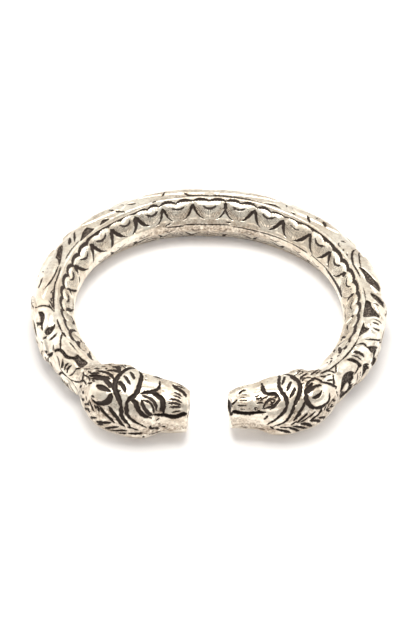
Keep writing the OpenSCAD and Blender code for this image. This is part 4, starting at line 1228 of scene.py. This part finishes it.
finish = {
    "broad": (0.045, 3.0),      # height and length of the broad unevenness
    "fine": (0.03, 1.0),        # and of the fine one
    "smoother": 0.012,          # how much lower that is on the heads
    "waves": 14,                # how many waves are added up in each
    # direction and pitch of the hatching's two sets of lines
    "hatch": ((1, 0.6, 0.42), (0.7, -1, 0.5)),
    "hatchHeight": 0.05,
    "hatchFrom": (0.3, 0.42),   # depth of a cut from which its floor is hatched, and looks grainy
    "stainSpread": 6,
    "stainLess": 0.65,          # the stain is weaker inside the ring by this share
}


# Slight unevenness of the hand-finished surface
def handwork(u, v, seed, size):
    draw = np.random.default_rng(seed)
    total = 0
    for _ in range(finish["waves"]):
        a, b, c = draw.uniform(-1, 1, 3)
        total = total + np.sin((a * u + b * v) * 2 * math.pi / size + c * 9)
    return total / finish["waves"]


# Fine cross-hatching on the floors of the pockets
def hatch(u, v):
    return np.maximum(*(np.sin((a * u + b * v) * 2 * math.pi / pitch) for a, b, pitch in finish["hatch"]))


# Relief and darkness of one side, over its whole grid
def ornament(side, grid):
    sheet = Sheet(grid)
    for cut in (cutPetals, cutBand, cutScrolls, cutHead):
        cut(sheet, side)
    share = grid["share"][:, None]
    around, across = grid["angle"] * scrolls["degree"], grid["phi"] * head["degree"]
    (broad, broadSize), (fine, fineSize) = finish["broad"], finish["fine"]
    uneven = broad * handwork(around, across, 3 + side, broadSize)
    uneven = uneven + (fine - finish["smoother"] * share) * handwork(around, across, 9 + side, fineSize)
    hatched = hatch(around, grid["rim"])
    cutFrom, grainFrom = finish["hatchFrom"]
    rough = sheet.dark * finish["hatchHeight"] * hatched
    high = sheet.bead + sheet.raised * (1 - share) + sheet.soft + uneven - sheet.cut
    high = high + np.where(sheet.cut > cutFrom, rough, 0)
    grain = np.where((sheet.cut > grainFrom) & (share < 0.9), 0.5 + 0.5 * hatched, 0)
    return high, sheet.dark, grain, sheet.brown


# Spreads values to their neighbours, as tarnish spreads from a cut
def spread(values, times):
    for _ in range(times):
        values = smoothRound(values)
        above, below = np.vstack([values[:1], values[:-1]]), np.vstack([values[1:], values[-1:]])
        values = 0.25 * above + 0.5 * values + 0.25 * below
    return values


# The nose closes in rings that shrink towards its middle: their size, how far forward they are,
# how dark they are, and how strongly the last row still shows in them
def noseRings(side, p, q, count):
    s = np.linspace(0, 1, count + 1)[1:, None]
    smaller, further = head["noseShape"]
    shrink = np.cos(s * math.pi / 2) ** smaller
    forward = head["noseCap"] * np.sin(s * math.pi / 2) ** further
    pp, qq = shrink * p, shrink * q
    front = Sheet({"phi": pp})
    everywhere = np.ones(pp.shape, bool)
    for wide, deep, points in noseFront["left" if side < 0 else "right"]:
        front.line(qq, pp, everywhere, [(b, a) for a, b in points], wide, deep, noseFront["taper"])
    if side > 0:
        front.pocket(qq, pp, everywhere, [(b, a) for a, b in noseFront["gape"]], noseFront["gapeDepth"])
    ahead = forward - front.cut * ease((1 - shrink) * noseFront["cutFade"])
    fade = ease((1 - shrink) * noseFront["darkFade"])
    return pp, qq, ahead, front.dark * fade, 1 - fade


# Grid of points in space, after the relief is added along each section's own normal
def surface(side, station, noseRows):
    grid = sideGrid(side, station)
    high, dark, grain, brown = ornament(side, grid)
    p, q = grid["p"], grid["q"]
    dp, dq = np.roll(p, -1, 1) - np.roll(p, 1, 1), np.roll(q, -1, 1) - np.roll(q, 1, 1)
    size = np.hypot(dp, dq)
    p, q = p - dq / size * high, q + dp / size * high
    section, way = grid["section"], grid["way"]
    across = np.stack([-way[:, 1], way[:, 0]], 1)
    x = section[:, 0, None] + p * across[:, 0, None] + grid["moved"]
    y = section[:, 1, None] + p * across[:, 1, None]
    z = section[:, 2, None] + q
    pp, qq, ahead, noseDark, stillDark = noseRings(side, p[-1], q[-1], noseRows)
    last = section[-1]
    turned = grid["moved"][-1] / np.where(np.abs(grid["p"][-1]) < 1e-6, 1, grid["p"][-1])
    x = np.vstack([x, last[0] + pp * (across[-1, 0] + turned) + ahead * way[-1, 0]])
    y = np.vstack([y, last[1] + pp * across[-1, 1] + ahead * way[-1, 1]])
    z = np.vstack([z, last[2] + qq])
    dark = np.vstack([dark, np.maximum(noseDark, dark[-1] * stillDark)])
    grain = np.vstack([grain, np.zeros(pp.shape)])
    brown = np.vstack([brown, np.repeat(brown[-1:], noseRows, 0)])
    points = np.stack([side * x, y, np.maximum(z, -rest) + rest], axis=-1)
    return points, dark, grain, brown


def stationRows():
    backEnd = ring["backEnd"]
    onBack = np.linspace(0, backEnd, fineness["back"] + 1) / ring["neck"]
    onSide = np.linspace(backEnd / ring["neck"], head["start"], fineness["side"] + 1)
    # even steps in millimetres along the side, so the neck isn't stretched
    for _ in range(3):
        row = sectionsAt(1, onSide)[:, :2]
        run = np.concatenate([[0], np.cumsum(np.linalg.norm(np.diff(row, axis=0), axis=1))])
        onSide = np.interp(np.linspace(0, run[-1], len(run)), run, onSide)
    onHead = np.linspace(head["start"], head["nose"], fineness["head"] + 1)
    return np.concatenate([onBack, onSide[1:], onHead[1:]])


stations = stationRows()
sides = {}
for side, name in ((-1, "left"), (1, "right")):
    sides[side] = surface(side, stations, fineness["nose"])
    print(name, "side shaped,", len(sides[side][0]), "rows")

# One loop of rows from the left nose round the back to the right nose
points, darkness, grain, brown = (
    np.concatenate([left[::-1], right[1:]], axis=0) for left, right in zip(sides[-1], sides[1]))
columnStep = np.roll(points, -1, 1) - np.roll(points, 1, 1)
rowStep = np.gradient(points, axis=0)
normals = np.cross(rowStep, columnStep)
normals /= np.maximum(np.linalg.norm(normals, axis=2), 1e-12)[..., None]
radius = np.hypot(points[..., 0], points[..., 1])
inward = ease((radius.mean(axis=1, keepdims=True) - radius) / radius.std(axis=1, keepdims=True))
stain = spread(darkness, finish["stainSpread"]) * (1 - finish["stainLess"] * inward)
print("loop of", len(points), "rows, darkness mean", round(float(darkness.mean()), 3))


# Where the texture of a piece ends, and the places of its caps beside it
sheetUv = {"edge": 0.02, "capMiddle": 0.004, "capRim": 0.018}


def cornerUv(*places):
    return np.stack([np.stack(np.broadcast_arrays(u, v), -1) for u, v in places], axis=-2)


# Faces of a closed stretch of n rows and m columns: grid, cap at the start, cap at the end,
# each with the texture places of its corners
def pieceFaces(n, m):
    i, k = np.meshgrid(np.arange(n - 1), np.arange(m), indexing="ij")
    after = (k + 1) % m
    edge = sheetUv["edge"]
    u0, u1 = (edge + (1 - 2 * edge) * row / (n - 1) for row in (i, i + 1))
    v0, v1 = k / m, (k + 1) / m
    quads = np.stack([i * m + k, (i + 1) * m + k, (i + 1) * m + after, i * m + after], axis=-1)
    quadUv = cornerUv((u0, v0), (u1, v0), (u1, v1), (u0, v1))
    c, after = np.arange(m), (np.arange(m) + 1) % m
    a, b = c / m, (c + 1) / m
    middle, rim = sheetUv["capMiddle"], sheetUv["capRim"]
    startCap = np.stack([np.full(m, n * m), c, after], 1)
    startUv = cornerUv((middle, (a + b) / 2), (rim, a), (rim, b))
    endCap = np.stack([np.full(m, n * m + 1), (n - 1) * m + after, (n - 1) * m + c], 1)
    endUv = cornerUv((1 - middle, (a + b) / 2), (1 - rim, b), (1 - rim, a))
    return (quads.reshape(-1, 4), startCap, endCap), (quadUv, startUv, endUv)


# A stretch of the loop becomes one closed mesh
def makePiece(name, first, last):
    rows = points[first:last + 1] * 0.001
    n, m = rows.shape[:2]
    middles = np.stack([rows[0].mean(0), rows[-1].mean(0)])
    vertices = np.vstack([rows.reshape(-1, 3), middles])
    faces, places = pieceFaces(n, m)
    corners = np.concatenate([face.ravel() for face in faces])
    uv = np.concatenate([place.reshape(-1, 2) for place in places])
    sizes = np.concatenate([np.full(len(face), face.shape[1]) for face in faces])
    mesh = bpy.data.meshes.new(name)
    mesh.vertices.add(len(vertices))
    mesh.vertices.foreach_set("co", vertices.ravel())
    mesh.loops.add(len(corners))
    mesh.loops.foreach_set("vertex_index", corners.astype(np.int32))
    mesh.polygons.add(len(sizes))
    mesh.polygons.foreach_set("loop_start", np.concatenate([[0], np.cumsum(sizes)[:-1]]).astype(np.int32))
    mesh.update(calc_edges=True)
    layer = mesh.uv_layers.new(name="OFBake")
    layer.uv.foreach_set("vector", uv.astype(np.float32).ravel())
    # darkness in the cuts, hatch grain, tarnish near the cuts, and brown patina with painted shade
    for label, values in (("patina", darkness), ("grain", grain), ("stain", stain), ("brown", brown)):
        attribute = mesh.attributes.new(label, "FLOAT", "POINT")
        here = np.concatenate([values[first:last + 1].ravel(), [0, 0]])
        attribute.data.foreach_set("value", here.astype(np.float32))
    mesh.polygons.foreach_set("use_smooth", np.ones(len(sizes), bool))
    ends = np.stack([normals[first].mean(0), normals[last].mean(0)]) + 1e-6
    mesh.normals_split_custom_set_from_vertices(
        np.vstack([normals[first:last + 1].reshape(-1, 3), ends]).tolist())
    piece = bpy.data.objects.new(name, mesh)
    bpy.context.collection.objects.link(piece)
    mesh.materials.append(oxidisedSilver)
    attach(piece, "root")
    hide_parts("bangle")
    print(name, "made,", int(np.sum(sizes - 2)), "triangles")


# A socket that adds a Math node for each sum it is used in
class Value:
    def __init__(self, nodes, socket):
        self.nodes, self.socket = nodes, socket

    def maths(self, operation, a, b):
        return self.nodes.add("ShaderNodeMath", {"operation": operation}, {0: a, 1: b})

    def __add__(self, other):
        return self.maths("ADD", self, other)

    def __radd__(self, other):
        return self.maths("ADD", other, self)

    def __sub__(self, other):
        return self.maths("SUBTRACT", self, other)

    def __rsub__(self, other):
        return self.maths("SUBTRACT", other, self)

    def __mul__(self, other):
        return self.maths("MULTIPLY", self, other)

    def __rmul__(self, other):
        return self.maths("MULTIPLY", other, self)


class Nodes:
    def __init__(self, tree):
        self.tree = tree
        tree.nodes.clear()

    # Settings first, then the values or links of the sockets
    def add(self, kind, settings=None, sockets=None, output=0):
        node = self.tree.nodes.new(kind)
        for name, value in (settings or {}).items():
            if name == "stops":
                ramp = node.color_ramp
                while len(ramp.elements) < len(value):
                    ramp.elements.new(1)
                for stop, (at, colour) in zip(ramp.elements, value):
                    stop.position, stop.color = at, colour
            else:
                setattr(node, name, value)
        for name, value in (sockets or {}).items():
            target = node.inputs[name]
            if isinstance(value, Value):
                self.tree.links.new(value.socket, target)
            else:
                target.default_value = value
        return Value(self, node.outputs[output]) if len(node.outputs) else node

    def blend(self, factor, a, b):
        return self.add("ShaderNodeMix", {"data_type": "RGBA"}, {0: factor, 6: a, 7: b}, 2)

    def clamp(self, value, low, high):
        return self.add("ShaderNodeMapRange", {"clamp": True}, {0: value, 1: low, 2: high, 3: 0.0, 4: 1.0})


silver = {
    "bright": (0.95, 0.89, 0.775, 1),       # polished high places
    "warm": (0.76, 0.67, 0.55, 1),          # where the patina still tints them
    "stainAndShade": (0.35, 0.265, 0.195, 1),     # close to the cuts, and in the brown patches of patina and painted shade
    "recess": (0.036, 0.024, 0.018, 1),     # what is left in the cuts
    "recessPale": (0.22, 0.178, 0.145, 1),  # ridges of the hatching in the pockets
    "polishedRoughness": 0.28,
    "recessRoughness": 0.62,
    # scale, detail and roughness of the noises: broad, mottle, fine, pits
    "noises": [(160.0, 3.0, 0.55), (620.0, 5.0, 0.68), (1500.0, 4.0, 0.6), (2300.0, 1.0, 0.5)],
    # from where to where each mask rises, and how much the fine noise frays it
    "edge": (0.28, 0.66, 0.4),
    "tint": (0.42, 0.66, 0.3),
    "near": (0.12, 0.55, 0.5),
    "grit": (0.5, 0.6, 0.5),
    "cloud": (0.44, 0.74),
    "patch": (0.3, 0.6),
    "speck": (0.68, 0.74),
    "ridge": (0.5, 0.62),
    "hollow": (0.5, 0.8),
    # how much of the stain-and-shade colour the clouds, the places near cuts and the brown patches of patina
    # and painted shade get
    "stainShares": (0.6, 0.45, 0.85),
    # how much soot the specks, the brown patches of patina and painted shade, and the places near cuts get
    "sootShares": (0.5, 0.32, 0.2),
    # how much rougher the tinted places, those near cuts and the brown patches of patina and painted shade
    # are
    "roughShares": (0.08, 0.1, 0.2),
    "sootMetal": 0.75,      # how much less metallic the soot is
    # what the fine noise, the mottle and the pits add to the bumps
    "bumpShares": (0.7, 0.9, -0.5),
    "bump": {"Strength": 0.55, "Distance": 0.00008},
}


def makeSilver():
    material = bpy.data.materials.new("oxidisedSilver")
    material.use_nodes = True
    n = Nodes(material.node_tree)
    place = n.add("ShaderNodeTexCoord", output=3)
    patina, grainHere, stainHere, tarnishAndShadeHere = (
        n.add("ShaderNodeAttribute", {"attribute_name": name}, output=2)
        for name in ("patina", "grain", "stain", "brown"))
    broad, mottle, fine, pits = (
        n.add("ShaderNodeTexNoise", {}, {
            "Vector": place, "Scale": scale, "Detail": detail, "Roughness": roughness})
        for scale, detail, roughness in silver["noises"])

    def frayed(value, name):
        low, high, share = silver[name]
        return n.clamp(value + (fine - 0.5) * share, low, high)

    edge, tint = frayed(patina, "edge"), frayed(broad, "tint")
    near, grit = frayed(stainHere, "near"), frayed(pits, "grit")
    speck, cloud = n.clamp(pits, *silver["speck"]), n.clamp(mottle, *silver["cloud"])
    # where the brown patches of patina and painted shade lie, frayed by the fine noise
    patch = tarnishAndShadeHere * n.clamp(fine, *silver["patch"])
    metal = n.blend(tint, silver["bright"], silver["warm"])
    for mask, share in zip((cloud, near, patch), silver["stainShares"]):
        metal = n.blend(mask * share, metal, silver["stainAndShade"])
    soot = n.blend(grainHere * n.clamp(pits, *silver["ridge"]), silver["recess"], silver["recessPale"])
    inSpecks, inPatches, inNear = silver["sootShares"]
    sooty = speck * inSpecks + (tarnishAndShadeHere * inPatches + near * inNear) * grit
    dark = n.clamp(edge + sooty * (1 - edge), 0, 1)
    polished, (tinted, close, brown) = silver["polishedRoughness"], silver["roughShares"]
    dull = polished + tint * tinted + near * close + patch * brown
    dull = dull + dark * (silver["recessRoughness"] - polished - close)
    ofFine, ofMottle, ofPits = silver["bumpShares"]
    height = fine * ofFine + mottle * ofMottle + n.clamp(pits, *silver["hollow"]) * ofPits
    bump = n.add("ShaderNodeBump", {}, {**silver["bump"], "Height": height})
    shader = n.add("ShaderNodeBsdfPrincipled", {}, {
        "Base Color": n.blend(dark, metal, soot), "Metallic": 1 - dark * silver["sootMetal"],
        "Roughness": dull, "Normal": bump, "Specular IOR Level": 0.4})
    n.add("ShaderNodeOutputMaterial", {}, {"Surface": shader})
    return material


oxidisedSilver = makeSilver()
headRows = fineness["head"] + fineness["nose"]
pieceRows = {
    "headLeft": headRows,
    "ringLeft": fineness["side"],
    "ringBack": 2 * fineness["back"],
    "ringRight": fineness["side"],
    "headRight": headRows,
}
first = 0
for pieceName, count in pieceRows.items():
    makePiece(pieceName, first, first + count)
    first += count

# A plain pale floor and a soft studio
floorLook = {
    "colour": (0.92, 0.91, 0.915, 1),
    "shade": 0.985,         # its faint clouds are darker by this factor
    "clouds": {"Scale": 8.0, "Detail": 2.0},
    "roughness": 0.75,
    "glow": (1.0, 0.95, 0.99, 1),
    "glowStrength": 0.07,
    "size": 1.6,
    "level": -0.00003,
}


def makeFloor():
    size, level = floorLook["size"], floorLook["level"]
    corners = [(x * size, y * size, level) for x, y in ((-1, -1), (1, -1), (1, 1), (-1, 1))]
    mesh = bpy.data.meshes.new("floor")
    mesh.from_pydata(corners, [], [(0, 1, 2, 3)])
    floor = bpy.data.objects.new("floor", mesh)
    bpy.context.collection.objects.link(floor)
    material = bpy.data.materials.new("paleFloor")
    material.use_nodes = True
    n = Nodes(material.node_tree)
    place = n.add("ShaderNodeTexCoord", output=3)
    cloud = n.add("ShaderNodeTexNoise", {}, {"Vector": place, **floorLook["clouds"]})
    pale = floorLook["colour"]
    shade = tuple(c * floorLook["shade"] for c in pale[:3]) + (1,)
    shader = n.add("ShaderNodeBsdfPrincipled", {}, {
        "Base Color": n.blend(cloud, pale, shade), "Roughness": floorLook["roughness"],
        "Specular IOR Level": 0.2, "Emission Color": floorLook["glow"],
        "Emission Strength": floorLook["glowStrength"]})
    n.add("ShaderNodeOutputMaterial", {}, {"Surface": shader})
    mesh.materials.append(material)


makeFloor()

studio = {
    "sky": (1.0, 0.985, 0.96, 1),
    "skyStrength": 0.63,
    "lampColour": (1.0, 0.98, 0.93),
    "aim": (0, 0, 0.01),
    # name, place, size, power in watts
    "lamps": [
        ("softTop", (0.0, 0.0, 0.16), 0.11, 0.19),
        ("softLeft", (-0.8, 0.4, 0.35), 0.9, 3.1),
        ("softRight", (0.8, 0.4, 0.35), 0.9, 3.1),
        ("keyTop", (-0.02, 0.0, 0.2), 0.08, 0.09),
        ("softBack", (0.0, 0.8, 0.45), 0.9, 0.95),
    ],
}


def makeStudio():
    world = bpy.data.worlds.new("studio")
    bpy.context.scene.world = world
    world.use_nodes = True
    n = Nodes(world.node_tree)
    back = n.add("ShaderNodeBackground", {}, {"Color": studio["sky"], "Strength": studio["skyStrength"]})
    n.add("ShaderNodeOutputWorld", {}, {"Surface": back})
    for name, place, size, power in studio["lamps"]:
        light = bpy.data.lights.new(name, "AREA")
        light.shape, light.size, light.energy, light.color = "SQUARE", size, power, studio["lampColour"]
        lamp = bpy.data.objects.new(name, light)
        lamp.location = place
        lamp.rotation_euler = (Vector(studio["aim"]) - Vector(place)).to_track_quat("-Z", "Y").to_euler()
        bpy.context.collection.objects.link(lamp)


makeStudio()

view = {
    "target": (0, 0, 0.01025),
    "direction": (-0.0241, -0.7262, 0.6871),
    "distance": 0.465,
    "roll": 2.66,
    "lens": 125.65,
    "sensor": 36,
    "shift": (-0.0029, -0.0205),
    "clip": (0.01, 10),
}


def makeCamera():
    camera = bpy.data.cameras.new("camera")
    camera.lens, camera.sensor_width = view["lens"], view["sensor"]
    camera.shift_x, camera.shift_y = view["shift"]
    camera.clip_start, camera.clip_end = view["clip"]
    eye = bpy.data.objects.new("camera", camera)
    target, direction = Vector(view["target"]), Vector(view["direction"]).normalized()
    place = Matrix.Translation(target + direction * view["distance"])
    aim = (-direction).to_track_quat("-Z", "Y").to_matrix().to_4x4()
    eye.matrix_world = place @ aim @ Matrix.Rotation(math.radians(view["roll"]), 4, "Z")
    bpy.context.collection.objects.link(eye)
    bpy.context.scene.camera = eye


makeCamera()
bpy.context.scene.view_settings.view_transform = "Standard"
print("floor, studio and camera placed")
